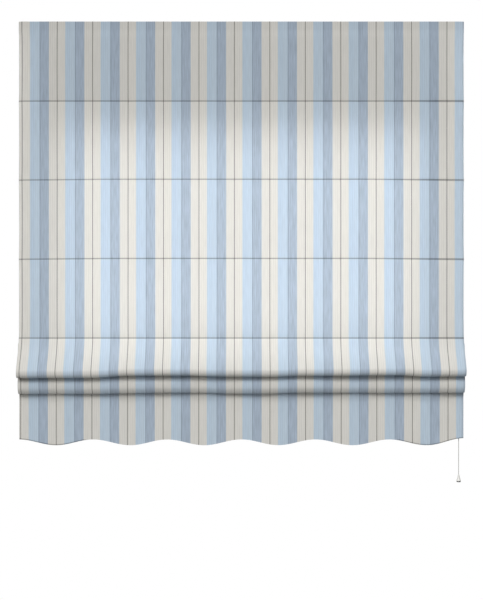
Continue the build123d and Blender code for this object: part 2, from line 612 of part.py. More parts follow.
def make_adjuster(name):
    """Moulded adjuster behind the bar, with a bore for its lift cord and a clamp strip."""
    x = COLUMNS[name]
    y_high = BAR_POCKET_BACK_Y + ADJUSTER_DEPTH
    face = Plane.XZ * RectangleRounded(ADJUSTER_WIDTH, ADJUSTER_HEIGHT, ADJUSTER_CORNER_RADIUS)
    body = Pos(x, y_high, BAR_Z) * extrude(face, ADJUSTER_DEPTH)
    body = fillet(body.faces().sort_by(Axis.Y)[-1].edges(), ADJUSTER_EDGE_RADIUS)
    clamp = ADJUSTER_CLAMP_WIDTH / 2
    half = ADJUSTER_HEIGHT / 2
    for z in (BAR_Z - half / 2, BAR_Z + half / 2):
        body -= block(
            x - clamp, x + clamp, y_high - ADJUSTER_CLAMP_DEPTH, y_high + OVERRUN,
            z - ADJUSTER_CLAMP_DEPTH / 2, z + ADJUSTER_CLAMP_DEPTH / 2,
        )
    low = BAR_Z - half - OVERRUN
    bore = LIFT_CORD_RADIUS + ADJUSTER_BORE_PLAY
    return body - rod_along_z(bore, low, BAR_Z + half + OVERRUN, x, LANES[name])


def make_lift_cord(name):
    """Lift cord: up behind the cloth, along the rail and down through the lock."""
    y = LANES[name]
    x = COLUMNS[name]
    start = BAR_Z - ADJUSTER_HEIGHT / 2 + ADJUSTER_HEIGHT * (1 - ADJUSTER_CORD_SHARE)
    end = CONNECTOR_TOP_Z - LIFT_CORD_IN_CONNECTOR
    route = [(x, y, start), (x, y, CORD_TOP_Z), (PULL_X, y, CORD_TOP_Z), (PULL_X, y, end)]
    print("lift cord", name, "turns at radius", ROLLER_TURN)
    path = FilletPolyline(*route, radius=[ROLLER_TURN, ROLLER_TURN])
    return sweep(Plane(route[0]) * Circle(LIFT_CORD_RADIUS), path=path)


def make_connector_top():
    """Upper half of the connector: the three lift cords enter through its crown."""
    r = CONNECTOR_RADIUS
    neck = r - CONNECTOR_TAPER / 2
    top = CONNECTOR_TOP_Z
    shoulder = top - CONNECTOR_TAPER
    outline = Polyline(
        (0, CONNECTOR_SPLIT_Z), (r, CONNECTOR_SPLIT_Z), (r, shoulder), (neck, top), (0, top), close=True
    )
    body = Pos(PULL_X, CORD_Y, 0) * revolve(Plane.XZ * make_face(outline), Axis.Z)
    inside = r - CONNECTOR_WALL
    body -= rod_along_z(inside, CONNECTOR_SPLIT_Z - OVERRUN, shoulder, PULL_X, CORD_Y)
    mouth = CORD_LANE + LIFT_CORD_RADIUS + CONNECTOR_CORD_PLAY
    return body - rod_along_z(mouth, shoulder - OVERRUN, top + OVERRUN, PULL_X, CORD_Y)


def make_connector_bottom():
    """Lower half of the connector, with a spigot in the upper half."""
    r = CONNECTOR_RADIUS
    neck = r - CONNECTOR_TAPER / 2
    low = CONNECTOR_BOTTOM_Z
    shoulder = low + CONNECTOR_TAPER
    top = CONNECTOR_SPLIT_Z
    spigot = r - CONNECTOR_WALL - CONNECTOR_FIT
    tip = top + CONNECTOR_SPIGOT
    outline = Polyline(
        (0, low), (neck, low), (r, shoulder), (r, top), (spigot, top), (spigot, tip), (0, tip), close=True
    )
    body = Pos(PULL_X, CORD_Y, 0) * revolve(Plane.XZ * make_face(outline), Axis.Z)
    body -= rod_along_z(spigot - CONNECTOR_WALL, shoulder, tip + OVERRUN, PULL_X, CORD_Y)
    mouth = PULL_CORD_RADIUS + PULL_CORD_PLAY
    return body - rod_along_z(mouth, low - OVERRUN, shoulder + OVERRUN, PULL_X, CORD_Y)


def make_pull_cord():
    """Pull cord with a knot in the connector and a knot in the bell."""
    knot_top = CONNECTOR_BOTTOM_Z + CONNECTOR_TAPER + PULL_KNOT_RADIUS + PULL_CORD_PLAY
    knot_low = BELL_TOP - BELL_ROOF - PULL_KNOT_RADIUS - PULL_CORD_PLAY
    cord = rod_along_z(PULL_CORD_RADIUS, knot_low, knot_top, PULL_X, CORD_Y)
    for z in (knot_top, knot_low):
        cord += Pos(PULL_X, CORD_Y, z) * Sphere(PULL_KNOT_RADIUS)
    return cord


def make_bell_shell():
    """Bell of the pull cord: a hollow turned shape that flares to a lip."""
    mouth = BELL_BOTTOM + BELL_BASE_HEIGHT
    lip = mouth + BELL_LIP
    waist = lip + (BELL_TOP - lip) * BELL_WAIST_SHARE
    flare = Spline((BELL_MOUTH_RADIUS, lip), (BELL_WAIST_RADIUS, waist), (BELL_TOP_RADIUS, BELL_TOP))
    rim = Polyline((BELL_TOP_RADIUS, BELL_TOP), (0, BELL_TOP), (0, mouth), (BELL_MOUTH_RADIUS, mouth))
    outline = flare + rim + Line((BELL_MOUTH_RADIUS, mouth), (BELL_MOUTH_RADIUS, lip))
    body = Pos(PULL_X, CORD_Y, 0) * revolve(Plane.XZ * make_face(outline), Axis.Z)
    ceiling = BELL_TOP - BELL_ROOF
    hollow = BELL_WAIST_RADIUS - BELL_WALL
    body -= rod_along_z(hollow, mouth - OVERRUN, ceiling, PULL_X, CORD_Y)
    body -= rod_along_z(BELL_BASE_RADIUS - BELL_WALL, mouth - OVERRUN, lip, PULL_X, CORD_Y)
    return body - rod_along_z(PULL_CORD_RADIUS + PULL_CORD_PLAY, lip, BELL_TOP + OVERRUN, PULL_X, CORD_Y)


def make_bell_base():
    """Foot ring of the bell, with a spigot in the bell's mouth."""
    mouth = BELL_BOTTOM + BELL_BASE_HEIGHT
    spigot = BELL_BASE_RADIUS - BELL_WALL - BELL_BASE_FIT
    tip = mouth + BELL_LIP
    body = rod_along_z(BELL_BASE_RADIUS, BELL_BOTTOM, mouth, PULL_X, CORD_Y)
    body += rod_along_z(spigot, mouth, tip, PULL_X, CORD_Y)
    hollow = spigot - BELL_SPIGOT_WALL
    return body - rod_along_z(hollow, BELL_BOTTOM - OVERRUN, tip + OVERRUN, PULL_X, CORD_Y)


def make_all():
    """Every node of the blind by name."""
    screw = HALF_WIDTH - BRACKET_INSET
    nodes = {
        "blind_cloth": make_cloth(),
        "headrail": make_headrail(),
        "end_cap": make_end_cap(),
        "hook_tape": make_tape(RAIL_FRONT_Y - TAPE_THICKNESS),
        "loop_tape": make_tape(CLOTH_BACK_Y),
        "lock_housing": make_lock_housing(),
        "lock_guide_roller": make_lock_guide_roller(),
        "lock_pin": make_lock_pin(),
        "lock_grip_roller": make_grip_roller(),
        "bar_pocket": make_bar_pocket(),
        "bottom_bar": make_bottom_bar(),
        "bar_caps": make_bar_caps(),
        "connector_top": make_connector_top(),
        "connector_bottom": make_connector_bottom(),
        "pull_cord": make_pull_cord(),
        "bell_shell": make_bell_shell(),
        "bell_base": make_bell_base(),
    }
    for name, x in {"left": -screw, "right": screw}.items():
        nodes["bracket_" + name] = make_bracket(x)
        nodes["latch_" + name] = make_latch(x)
    for name, x in COLUMNS.items():
        roller_x = x + ROLLER_TURN
        nodes["cord_guide_" + name] = make_guide(roller_x)
        nodes["guide_roller_" + name] = make_roller(roller_x, ROLLER_WIDTH, AXLE_RADIUS + ROLLER_BORE_PLAY)
        axle = (CORD_Y - GUIDE_HALF, CORD_Y + GUIDE_HALF)
        nodes["guide_axle_" + name] = rod_along_y(AXLE_RADIUS, *axle, roller_x, ROLLER_Z)
        nodes["cord_adjuster_" + name] = make_adjuster(name)
        nodes["lift_cord_" + name] = make_lift_cord(name)
    for i, z in enumerate(SEAM_HEIGHTS + [ROD_5_Z], start=1):
        nodes[f"rod_pocket_{i}"] = make_pocket(z)
        nodes[f"stay_rod_{i}"] = make_rod(z)
        nodes[f"rings_{i}"] = make_rings(z)
    return nodes


os.makedirs("parts", exist_ok=True)
for node, shape in make_all().items():
    export_step(shape, f"parts/{node}.step")
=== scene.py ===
"""Roman blind, part raised: the dressed scene, in the shared frame and in metres."""

from __future__ import annotations

import json
import logging
import math
from dataclasses import dataclass, replace
from enum import Enum

import bpy
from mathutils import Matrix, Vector

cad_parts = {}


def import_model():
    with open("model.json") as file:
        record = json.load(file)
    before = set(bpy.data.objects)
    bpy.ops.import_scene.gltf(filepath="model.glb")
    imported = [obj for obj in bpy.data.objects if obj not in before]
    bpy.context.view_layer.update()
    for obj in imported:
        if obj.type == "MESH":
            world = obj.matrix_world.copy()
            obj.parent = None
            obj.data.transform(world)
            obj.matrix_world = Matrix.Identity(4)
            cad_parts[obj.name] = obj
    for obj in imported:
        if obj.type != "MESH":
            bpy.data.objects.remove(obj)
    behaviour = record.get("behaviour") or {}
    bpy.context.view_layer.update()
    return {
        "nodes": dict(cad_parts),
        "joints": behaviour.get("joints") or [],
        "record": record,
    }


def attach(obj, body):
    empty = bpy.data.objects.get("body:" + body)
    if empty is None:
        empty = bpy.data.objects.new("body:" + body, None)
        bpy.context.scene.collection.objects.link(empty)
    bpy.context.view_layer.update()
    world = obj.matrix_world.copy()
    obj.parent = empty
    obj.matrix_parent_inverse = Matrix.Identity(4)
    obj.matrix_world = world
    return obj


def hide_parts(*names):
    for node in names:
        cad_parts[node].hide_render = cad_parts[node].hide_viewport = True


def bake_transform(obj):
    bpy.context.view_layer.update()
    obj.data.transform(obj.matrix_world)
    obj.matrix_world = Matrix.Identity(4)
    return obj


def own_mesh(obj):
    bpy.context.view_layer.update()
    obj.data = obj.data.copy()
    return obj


LOG = logging.getLogger("roman_blind")

MM = 0.001
PHOTO_WIDTH_PX = 483
PHOTO_HEIGHT_PX = 600

CLOTH_WIDTH = 1.300
CLOTH_TOP = 0.018
CLOTH_UV = "cloth"
# Distance to the nearest seam or to the foot, which sets where painted shade darkens the cloth's colour
SEAM_ATTRIBUTE = "to_seam"
# Where the cords come down through the lock
PULL_X = 0.637
PULL_Y = -0.0257
# Each lift cord's name, its column across the blind and its lane in the rail
LIFT_CORDS: tuple[tuple[str, float, float], ...] = (
    ("left", -0.560, -0.0279),
    ("centre", 0.0, PULL_Y),
    ("right", 0.560, -0.0235),
)

# The steps of an arc, and the sharpest edge that is still shaded smooth
ARC_STEP = math.radians(9)
SMOOTH_EDGE = math.radians(50)
# Two places that are closer than this are the same
SAME_PLACE = 1e-6
# The scale at which a wave texture has one band in each metre
BAND_PER_METRE = math.pi / 10
# Settings of a Mix node on colours: its colours are inputs 6 and 7, and the result is this output
MIX_COLOUR = {"data_type": "RGBA"}
MULTIPLY_COLOUR = {"data_type": "RGBA", "blend_type": "MULTIPLY"}
MIXED = 2
SMOOTH_RANGE = {"interpolation_type": "SMOOTHSTEP"}

Point = tuple[float, float, float]
Line = list[tuple[float, float]]
Wave = tuple[tuple[float, float], ...]
Socket = bpy.types.NodeSocket


class Body(str, Enum):
    """The rigid bodies that pieces ride on."""

    RAIL = "rail"
    STACK = "gathered_stays"
    PULL = "pull"


class Joint(str, Enum):
    """The joints that soft pieces follow."""

    LIFT = "blind_lift"


class Slot(str, Enum):
    """The record's material slots."""

    CLOTH = "striped_cloth"
    WEBBING = "white_webbing"
    CORD = "white_cord"
    POWDER_COAT = "powder_coat"
    STEEL = "zinc_steel"
    PLASTIC = "white_plastic"
    ACETAL = "acetal"
    BRASS = "brass"
    FIBREGLASS = "fibreglass"
    ALUMINIUM = "aluminium"
    DARK_PLASTIC = "dark_grey_plastic"


class LampKind(str, Enum):
    """The kinds of light."""

    SPOT = "SPOT"
    SUN = "SUN"
    PANEL = "AREA"


def linear(colour: str) -> tuple[float, float, float, float]:
    """Turn an sRGB hex colour into linear light.

    Args:
        colour: six hex digits, red first.

    Returns:
        Red, green, blue and an alpha of one.
    """
    channels = [int(colour[i : i + 2], 16) / 255 for i in (0, 2, 4)]
    # The sRGB curve has a short straight foot and then a power
    light = [c / 12.92 if c <= 0.04045 else ((c + 0.055) / 1.055) ** 2.4 for c in channels]
    return (*light, 1.0)


def add_node(
    tree: bpy.types.NodeTree, kind: str, settings: dict[str, str] | None = None,
    **inputs: Socket | float | tuple[float, ...],
) -> bpy.types.Node:
    """Add one node with its settings, and link or set its inputs.

    Args:
        tree: the node tree that gets the node.
        kind: the node's type name.
        settings: attributes of the node.
        inputs: sockets or values by input name, with underscores for spaces, or by at_ and an index.

    Returns:
        The new node.
    """
    node = tree.nodes.new(kind)
    for name, value in (settings or {}).items():
        setattr(node, name, value)
    for name, value in inputs.items():
        key = int(name[3:]) if name.startswith("at_") else name.replace("_", " ")
        if isinstance(value, Socket):
            tree.links.new(value, node.inputs[key])
        else:
            node.inputs[key].default_value = value
    return node


def deselect_all() -> None:
    """Leave edit mode and deselect every object."""
    if bpy.context.object is not None and bpy.context.object.mode != "OBJECT":
        bpy.ops.object.mode_set(mode="OBJECT")
    bpy.ops.object.select_all(action="DESELECT")


def make_active(obj: bpy.types.Object) -> None:
    """Select one object alone and make it the active one.

    Args:
        obj: the object.
    """
    deselect_all()
    obj.select_set(True)
    bpy.context.view_layer.objects.active = obj


def smoothstep(low: float, high: float, value: float) -> float:
    """A smooth rise from zero at low to one at high."""
    t = min(max((value - low) / (high - low), 0.0), 1.0)
    return t * t * (3 - 2 * t)


def through(points: Wave, x: float) -> float:
    """Read a gentle wave that passes through a few chosen places.

    Args:
        points: pairs of place and value, in rising order of place.
        x: the place to read.

    Returns:
        The value there.
    """
    for (x0, v0), (x1, v1) in zip(points, points[1:]):
        if x <= x1:
            return v0 + (v1 - v0) * smoothstep(x0, x1, x)
    return points[-1][1]


# Finishes


@dataclass(frozen=True)
class Finish:
    """A surface finish: a name, a colour and how it takes the light."""

    name: str
    colour: str
    roughness: float

    def start(self) -> tuple[bpy.types.Material, bpy.types.NodeTree, bpy.types.Node]:
        """Make the material with its shader.

        Returns:
            The material, its node tree and its shader node.
        """
        material = bpy.data.materials.new(self.name)
        material.use_nodes = True
        tree = material.node_tree
        shader = tree.nodes["Principled BSDF"]
        shader.inputs["Base Color"].default_value = linear(self.colour)
        shader.inputs["Roughness"].default_value = self.roughness
        return material, tree, shader

    def build(self) -> bpy.types.Material:
        """Make the finished material."""
        return self.start()[0]


@dataclass(frozen=True)
class Patterned(Finish):
    """A finish in a colour and a shade, with a fine relief."""

    shade: str
    relief_mm: float

    def lay(
        self, tree: bpy.types.NodeTree, shader: bpy.types.Node, colours: tuple[str, str], tint: Socket,
        height: Socket, strength: float,
    ) -> None:
        """Colour the shader by one pattern and raise another on it.

        Args:
            tree: the material's node tree.
            shader: its shader node.
            colours: the colours where the tint is none and where it is full.
            tint: the pattern of the colours.
            height: the pattern that is raised.
            strength: how strongly the relief shows.
        """
        low, high = (linear(colour) for colour in colours)
        mixed = add_node(tree, "ShaderNodeMix", MIX_COLOUR, Factor=tint, at_6=low, at_7=high)
        bump = add_node(
            tree, "ShaderNodeBump", Height=height, Distance=self.relief_mm * MM, Strength=strength
        )
        tree.links.new(mixed.outputs[MIXED], shader.inputs["Base Color"])
        tree.links.new(bump.outputs["Normal"], shader.inputs["Normal"])


@dataclass(frozen=True)
class Moulded(Patterned):
    """Moulded or coated surface: a fine grain, faint mottling and a slightly uneven gloss."""

    grain_mm: float
    mottle_mm: float
    coat: float = 0.0
    gloss_swing: float = 0.06

    def build(self) -> bpy.types.Material:
        """Make the material from two scales of noise on the piece's own coordinates.

        Returns:
            The finished material.
        """
        material, tree, shader = self.start()
        shader.inputs["Coat Weight"].default_value = self.coat
        place = add_node(tree, "ShaderNodeTexCoord").outputs["Object"]
        mottle, grain = (
            add_node(
                tree, "ShaderNodeTexNoise", Vector=place, Scale=1 / (size * MM), Detail=detail
            ).outputs["Fac"]
            for size, detail in ((self.mottle_mm, 3.0), (self.grain_mm, 2.0))
        )
        gloss = add_node(
            tree, "ShaderNodeMapRange", Value=mottle,
            To_Min=self.roughness - self.gloss_swing, To_Max=self.roughness + self.gloss_swing,
        )
        tree.links.new(gloss.outputs["Result"], shader.inputs["Roughness"])
        self.lay(tree, shader, (self.colour, self.shade), tint=mottle, height=grain, strength=0.5)
        return material


@dataclass(frozen=True)
class Drawn(Patterned):
    """Drawn or rolled metal: fine lines along X and an uneven gloss."""

    relief_mm: float = 0.02
    line_mm: float = 0.7
    stretch: float = 60.0
    gloss_less: float = 0.08
    gloss_more: float = 0.1

    def build(self) -> bpy.types.Material:
        """Make the material from noise drawn out along the piece.

        Returns:
            The finished material.
        """
        material, tree, shader = self.start()
        shader.inputs["Metallic"].default_value = 1.0
        place = add_node(tree, "ShaderNodeTexCoord").outputs["Object"]
        drawn = add_node(tree, "ShaderNodeMapping", Vector=place, Scale=(1 / self.stretch, 1.0, 1.0))
        lines = add_node(
            tree, "ShaderNodeTexNoise", Vector=drawn.outputs["Vector"],
            Scale=1 / (self.line_mm * MM), Detail=4.0,
        ).outputs["Fac"]
        gloss = add_node(
            tree, "ShaderNodeMapRange", Value=lines,
            To_Min=self.roughness - self.gloss_less, To_Max=self.roughness + self.gloss_more,
        )
        tree.links.new(gloss.outputs["Result"], shader.inputs["Roughness"])
        self.lay(tree, shader, (self.colour, self.shade), tint=lines, height=lines, strength=0.4)
        return material


@dataclass(frozen=True)
class Webbing(Patterned):
    """Woven polyester tape: cross ribs, drawn a little coarse so that they show, and a soft sheen."""

    # Painted shade in the hollows between the ribs
    shade: str = "D9D8D2"
    relief_mm: float = 0.15
    rib_mm: float = 1.2
    sheen: float = 0.2

    def build(self) -> bpy.types.Material:
        """Make the material from two crossed sets of ribs.

        Returns:
            The finished material.
        """
        material, tree, shader = self.start()
        shader.inputs["Sheen Weight"].default_value = self.sheen
        place = add_node(tree, "ShaderNodeTexCoord").outputs["Object"]
        ribs = [
            add_node(
                tree, "ShaderNodeTexWave", {"bands_direction": axis}, Vector=place,
                Scale=BAND_PER_METRE / (self.rib_mm * MM), Distortion=0.6, Detail=1.0, Detail_Scale=2.0,
            )
            for axis in ("X", "Z")
        ]
        weave = add_node(
            tree, "ShaderNodeMath", {"operation": "MULTIPLY"}, at_0=ribs[0].outputs["Fac"],
            at_1=ribs[1].outputs["Fac"],
        ).outputs["Value"]
        self.lay(tree, shader, (self.shade, self.colour), tint=weave, height=weave, strength=0.6)
        return material


@dataclass(frozen=True)
class Braid(Patterned):
    """Braided polyester cord: crossing strands, drawn a little coarse so that they show."""

    # Painted shade in the hollows between the strands
    shade: str = "A8A7A3"
    relief_mm: float = 0.2
    strand_mm: float = 1.6
    turn_deg: float = 40.0
    sheen: float = 0.15

    def build(self) -> bpy.types.Material:
        """Make the material from two diagonal sets of strands.

        Returns:
            The finished material.
        """
        material, tree, shader = self.start()
        shader.inputs["Sheen Weight"].default_value = self.sheen
        place = add_node(tree, "ShaderNodeTexCoord").outputs["Object"]
        strands = []
        for turn in (math.radians(self.turn_deg), math.radians(-self.turn_deg)):
            turned = add_node(tree, "ShaderNodeMapping", Vector=place, Rotation=(turn, turn, 0.0))
            strands.append(
                add_node(
                    tree, "ShaderNodeTexWave", {"bands_direction": "Z"}, Vector=turned.outputs["Vector"],
                    Scale=BAND_PER_METRE / (self.strand_mm * MM),
                )
            )
        weave = add_node(
            tree, "ShaderNodeMath", {"operation": "MAXIMUM"}, at_0=strands[0].outputs["Fac"],
            at_1=strands[1].outputs["Fac"],
        ).outputs["Value"]
        self.lay(tree, shader, (self.shade, self.colour), tint=weave, height=weave, strength=0.5)
        return material


@dataclass(frozen=True)
class StripedCotton(Finish):
    """Yarn-dyed cotton: cream, light blue and slate stripes, with a dark pin line in each repeat."""

    # The cloth's width, and one repeat of the stripes from its pin line on
    width_mm: float = CLOTH_WIDTH / MM
    repeat_mm: float = 103.37
    first_line_mm: float = 8.3
    line_mm: float = 2.4
    cream_mm: float = 22.0
    light_mm: float = 28.4
    thread_mm: float = 2.8
    slate_mm: float = 24.4
    line: str = "95928D"
    light: str = "C1D1DF"
    light_deep: str = "BFD0DF"
    slate: str = "ACBACA"
    thread: str = "9CAABA"
    # Ribs, slubs and weave, drawn coarser than the real yarn so that they show
    rib_mm: float = 6.2
    slub_mm: float = 14.0
    slub_stretch: float = 12.0
    weave_mm: float = 2.4
    relief_mm: float = 0.12
    tone_low: float = 0.93
    tone_high: float = 1.06
    # Flecks along the yarn, also drawn coarse, and how strong they are in each stripe
    fleck_mm: float = 3.4
    fleck_stretch: float = 14.0
    fleck_tone: float = 0.5
    fleck_plain: float = 0.3
    fleck_light: float = 0.4
    fleck_slate: float = 1.0
    # The shade in the seams and along the side edges
    seam_mm: float = 3.3
    seam_tone: float = 0.45
    edge_mm: float = 2.0
    edge_tone: float = 0.9
    sheen: float = 0.12
    specular: float = 0.2

    def stripes(self, tree: bpy.types.NodeTree, across: Socket) -> bpy.types.Node:
        """Lay the stripe colours over the width.

        Args:
            tree: the material's node tree.
            across: place across the cloth in metres from its left edge.

        Returns:
            A colour ramp with one repeat, whose alpha is how flecked each stripe's yarn is.
        """
        repeats = add_node(
            tree, "ShaderNodeMath", {"operation": "DIVIDE"}, at_0=across, at_1=self.repeat_mm * MM
        )
        shifted = add_node(
            tree, "ShaderNodeMath", {"operation": "SUBTRACT"}, at_0=repeats.outputs["Value"],
            at_1=self.first_line_mm / self.repeat_mm,
        )
        share = add_node(tree, "ShaderNodeMath", {"operation": "FRACT"}, at_0=shifted.outputs["Value"])
        ramp = add_node(tree, "ShaderNodeValToRGB", Fac=share.outputs["Value"])
        # Each band with the width of the one before it
        bands = [
            (0.0, self.line, self.fleck_plain),
            (self.line_mm, self.colour, self.fleck_plain),
            (self.cream_mm, self.light_deep, self.fleck_light),
            (self.light_mm / 2, self.light, self.fleck_light),
            (self.light_mm / 2, self.thread, self.fleck_slate),
            (self.thread_mm, self.slate, self.fleck_slate),
            (self.slate_mm, self.colour, self.fleck_plain),
        ]
        ramp.color_ramp.interpolation = "CONSTANT"
        stops = ramp.color_ramp.elements
        place = 0.0
        for i, (run, colour, fleck) in enumerate(bands):
            place += run / self.repeat_mm
            stop = stops[i] if i < len(stops) else stops.new(place)
            stop.position = place
            stop.color = (*linear(colour)[:3], fleck)
        return ramp

    def yarn(self, tree: bpy.types.NodeTree, flat: Socket, slub: Socket, ramp: bpy.types.Node) -> Socket:
        """Make the stripes' colour uneven, with ribs, slubs and flecks along the yarn.

        Args:
            tree: the material's node tree.
            flat: place on the flat cloth.
            slub: how thick the yarn is.
            ramp: the stripes.

        Returns:
            The uneven colour.
        """
        ribs = add_node(
            tree, "ShaderNodeTexWave", {"bands_direction": "X"}, Vector=flat,
            Scale=BAND_PER_METRE / (self.rib_mm * MM), Distortion=0.4, Detail=2.0,
        )
        # Two patterns of up to one each add up to two
        uneven = add_node(tree, "ShaderNodeMath", {"operation": "ADD"}, at_0=slub, at_1=ribs.outputs["Fac"])
        tone = add_node(
            tree, "ShaderNodeMapRange", Value=uneven.outputs["Value"], From_Max=2.0,
            To_Min=self.tone_low, To_Max=self.tone_high,
        )
        toned = add_node(
            tree, "ShaderNodeMix", MULTIPLY_COLOUR, Factor=1.0,
            at_6=ramp.outputs["Color"], at_7=tone.outputs["Result"],
        )
        drawn = add_node(tree, "ShaderNodeMapping", Vector=flat, Scale=(1.0, 1 / self.fleck_stretch, 1.0))
        fleck = add_node(
            tree, "ShaderNodeTexNoise", Vector=drawn.outputs["Vector"],
            Scale=1 / (self.fleck_mm * MM), Detail=2.0,
        )
        fleck_tone = add_node(
            tree, "ShaderNodeMapRange", Value=fleck.outputs["Fac"],
            To_Min=1 - self.fleck_tone / 2, To_Max=1 + self.fleck_tone / 2,
        )
        flecked = add_node(
            tree, "ShaderNodeMix", MULTIPLY_COLOUR, Factor=ramp.outputs["Alpha"],
            at_6=toned.outputs[MIXED], at_7=fleck_tone.outputs["Result"],
        )
        return flecked.outputs[MIXED]

    # Painted shade: the seams, the foot's lower edge and the two side edges are darkened in the colour
    def painted_seam_and_edge_shade(self, tree: bpy.types.NodeTree, across: Socket) -> Socket:
        """Shade the cloth in its seams and along its two side edges.

        Args:
            tree: the material's node tree.
            across: place across the cloth in metres from its left edge.

        Returns:
            The tone, which is one on plain cloth.
        """
        seam = add_node(tree, "ShaderNodeAttribute", {"attribute_name": SEAM_ATTRIBUTE})
        tone = add_node(
            tree, "ShaderNodeMapRange", SMOOTH_RANGE, Value=seam.outputs["Fac"],
            From_Max=self.seam_mm * MM, To_Min=self.seam_tone, To_Max=1.0,
        ).outputs["Result"]
        for outer, inner in ((0.0, self.edge_mm), (self.width_mm, self.width_mm - self.edge_mm)):
            edge = add_node(
                tree, "ShaderNodeMapRange", SMOOTH_RANGE, Value=across,
                From_Min=outer * MM, From_Max=inner * MM, To_Min=self.edge_tone,
            )
            tone = add_node(
                tree, "ShaderNodeMath", {"operation": "MULTIPLY"}, at_0=tone, at_1=edge.outputs["Result"]
            ).outputs["Value"]
        return tone

    def build(self) -> bpy.types.Material:
        """Make the material: stripes of uneven yarn, painted shade in the seams, along the foot and at the
        side edges, and a woven relief.

        Returns:
            The finished material.
        """
        material, tree, shader = self.start()
        shader.inputs["Sheen Weight"].default_value = self.sheen
        shader.inputs["Specular IOR Level"].default_value = self.specular
        flat = add_node(tree, "ShaderNodeUVMap", {"uv_map": CLOTH_UV}).outputs["UV"]
        across = add_node(tree, "ShaderNodeSeparateXYZ", Vector=flat).outputs["X"]
        drawn = add_node(tree, "ShaderNodeMapping", Vector=flat, Scale=(1.0, 1 / self.slub_stretch, 1.0))
        slub = add_node(
            tree, "ShaderNodeTexNoise", Vector=drawn.outputs["Vector"],
            Scale=1 / (self.slub_mm * MM), Detail=5.0,
        ).outputs["Fac"]
        colour = self.yarn(tree, flat, slub, self.stripes(tree, across))
        # The colour darkened by the painted shade
        dressed = add_node(
            tree, "ShaderNodeMix", MULTIPLY_COLOUR, Factor=1.0, at_6=colour, at_7=self.painted_seam_and_edge_shade(tree, across)
        )
        threads = [
            add_node(
                tree, "ShaderNodeTexWave", {"bands_direction": axis}, Vector=flat,
                Scale=BAND_PER_METRE / (self.weave_mm * MM), Distortion=0.8, Detail=2.0,
            )
            for axis in ("X", "Y")
        ]
        weave = add_node(
            tree, "ShaderNodeMath", {"operation": "MULTIPLY_ADD"}, at_0=threads[0].outputs["Fac"],
            at_1=threads[1].outputs["Fac"], at_2=slub,
        )
        bump = add_node(
            tree, "ShaderNodeBump", Height=weave.outputs["Value"], Distance=self.relief_mm * MM, Strength=0.5
        )
        tree.links.new(dressed.outputs[MIXED], shader.inputs["Base Color"])
        tree.links.new(bump.outputs["Normal"], shader.inputs["Normal"])
        return material


@dataclass(frozen=True)
class PaleFloor(Finish):
    """Painted floor: matte and pale, and paler still to the camera."""

    seen: str

    def build(self) -> bpy.types.Material:
        """Make the material, with one colour for the light and one for the camera.

        Returns:
            The finished material.
        """
        material, tree, shader = self.start()
        path = add_node(tree, "ShaderNodeLightPath")
        tint = add_node(
            tree, "ShaderNodeMix", MIX_COLOUR, Factor=path.outputs["Is Camera Ray"],
            at_6=linear(self.colour), at_7=linear(self.seen),
        )
        tree.links.new(tint.outputs[MIXED], shader.inputs["Base Color"])
        return material


FINISHES: dict[Slot, Finish] = {
    # Yarn-dyed cotton: matte, soft, faint ribs along the yarn
    Slot.CLOTH: StripedCotton("yarn_dyed_cotton", "DEDCD6", 0.92),
    # Polyester tape: matte white with fine ribs, and painted shade between them
    Slot.WEBBING: Webbing("polyester_webbing", "EFEEE9", 0.85),
    # Braided polyester: white strands, with painted shade in light grey between them
    Slot.CORD: Braid("braided_polyester", "CFCECA", 0.7),
    # Powder coat on extruded aluminium: satin white with a fine orange peel
    Slot.POWDER_COAT: Moulded(
        "powder_coated_aluminium", "F0F0EC", 0.42,
        shade="E9E9E4", grain_mm=1.5, mottle_mm=30.0, relief_mm=0.04, coat=0.1,
    ),
    # Zinc plate on pressed steel: bright, a little cloudy
    Slot.STEEL: Drawn("zinc_plated_steel", "B4B8BD", 0.36, shade="C9CCD0"),
    # Moulded ABS: satin white
    Slot.PLASTIC: Moulded(
        "moulded_abs", "F1F0EC", 0.38,
        shade="E9E8E3", grain_mm=0.7, mottle_mm=8.0, relief_mm=0.02, coat=0.15,
    ),
    # Natural acetal: milky, waxy
    Slot.ACETAL: Moulded(
        "natural_acetal", "E6E5DF", 0.45, shade="DCDBD3", grain_mm=0.6, mottle_mm=5.0, relief_mm=0.02
    ),
    # Turned brass: warm, slightly dulled
    Slot.BRASS: Drawn("turned_brass", "C9A55A", 0.34, shade="B08E48", line_mm=0.4, stretch=4.0),
    # Pultruded fibreglass: pale, a little glossy, with a faint grain
    Slot.FIBREGLASS: Moulded(
        "pultruded_fibreglass", "E3E6DC", 0.4, shade="D2D7CA", grain_mm=0.5, mottle_mm=6.0, relief_mm=0.03
    ),
    # Mill-finish aluminium: grey, fine lines from the die
    Slot.ALUMINIUM: Drawn("mill_aluminium", "C2C4C6", 0.4, shade="D0D2D3"),
    # Moulded polypropylene: dark grey, matte
    Slot.DARK_PLASTIC: Moulded(
        "moulded_polypropylene", "4A4B4D", 0.55, shade="424345", grain_mm=0.5, mottle_mm=4.0, relief_mm=0.03
    ),
}


@dataclass
class FinishShelf:
    """The materials made so far, one for each slot."""

    made: dict[Slot, bpy.types.Material]

    def get(self, slot: Slot) -> bpy.types.Material:
        """Give a slot's material, made at its first use.

        Args:
            slot: the material slot.

        Returns:
            Its material.
        """
        if slot not in self.made:
            self.made[slot] = FINISHES[slot].build()
        return self.made[slot]

    def dress(self, obj: bpy.types.Object, slot: Slot) -> None:
        """Put one slot's material all over an object."""
        obj.data.materials.clear()
        obj.data.materials.append(self.get(slot))


# Cloth


@dataclass(frozen=True)
class Ripple:
    """A shallow wave across the cloth: its depth, its turn in each metre and where it starts, in radians."""

    depth: float
    rate: float
    start: float

    def at(self, x: float) -> float:
        """How far the cloth stands back at a place across the width."""
        return self.depth * math.sin(self.rate * x + self.start)


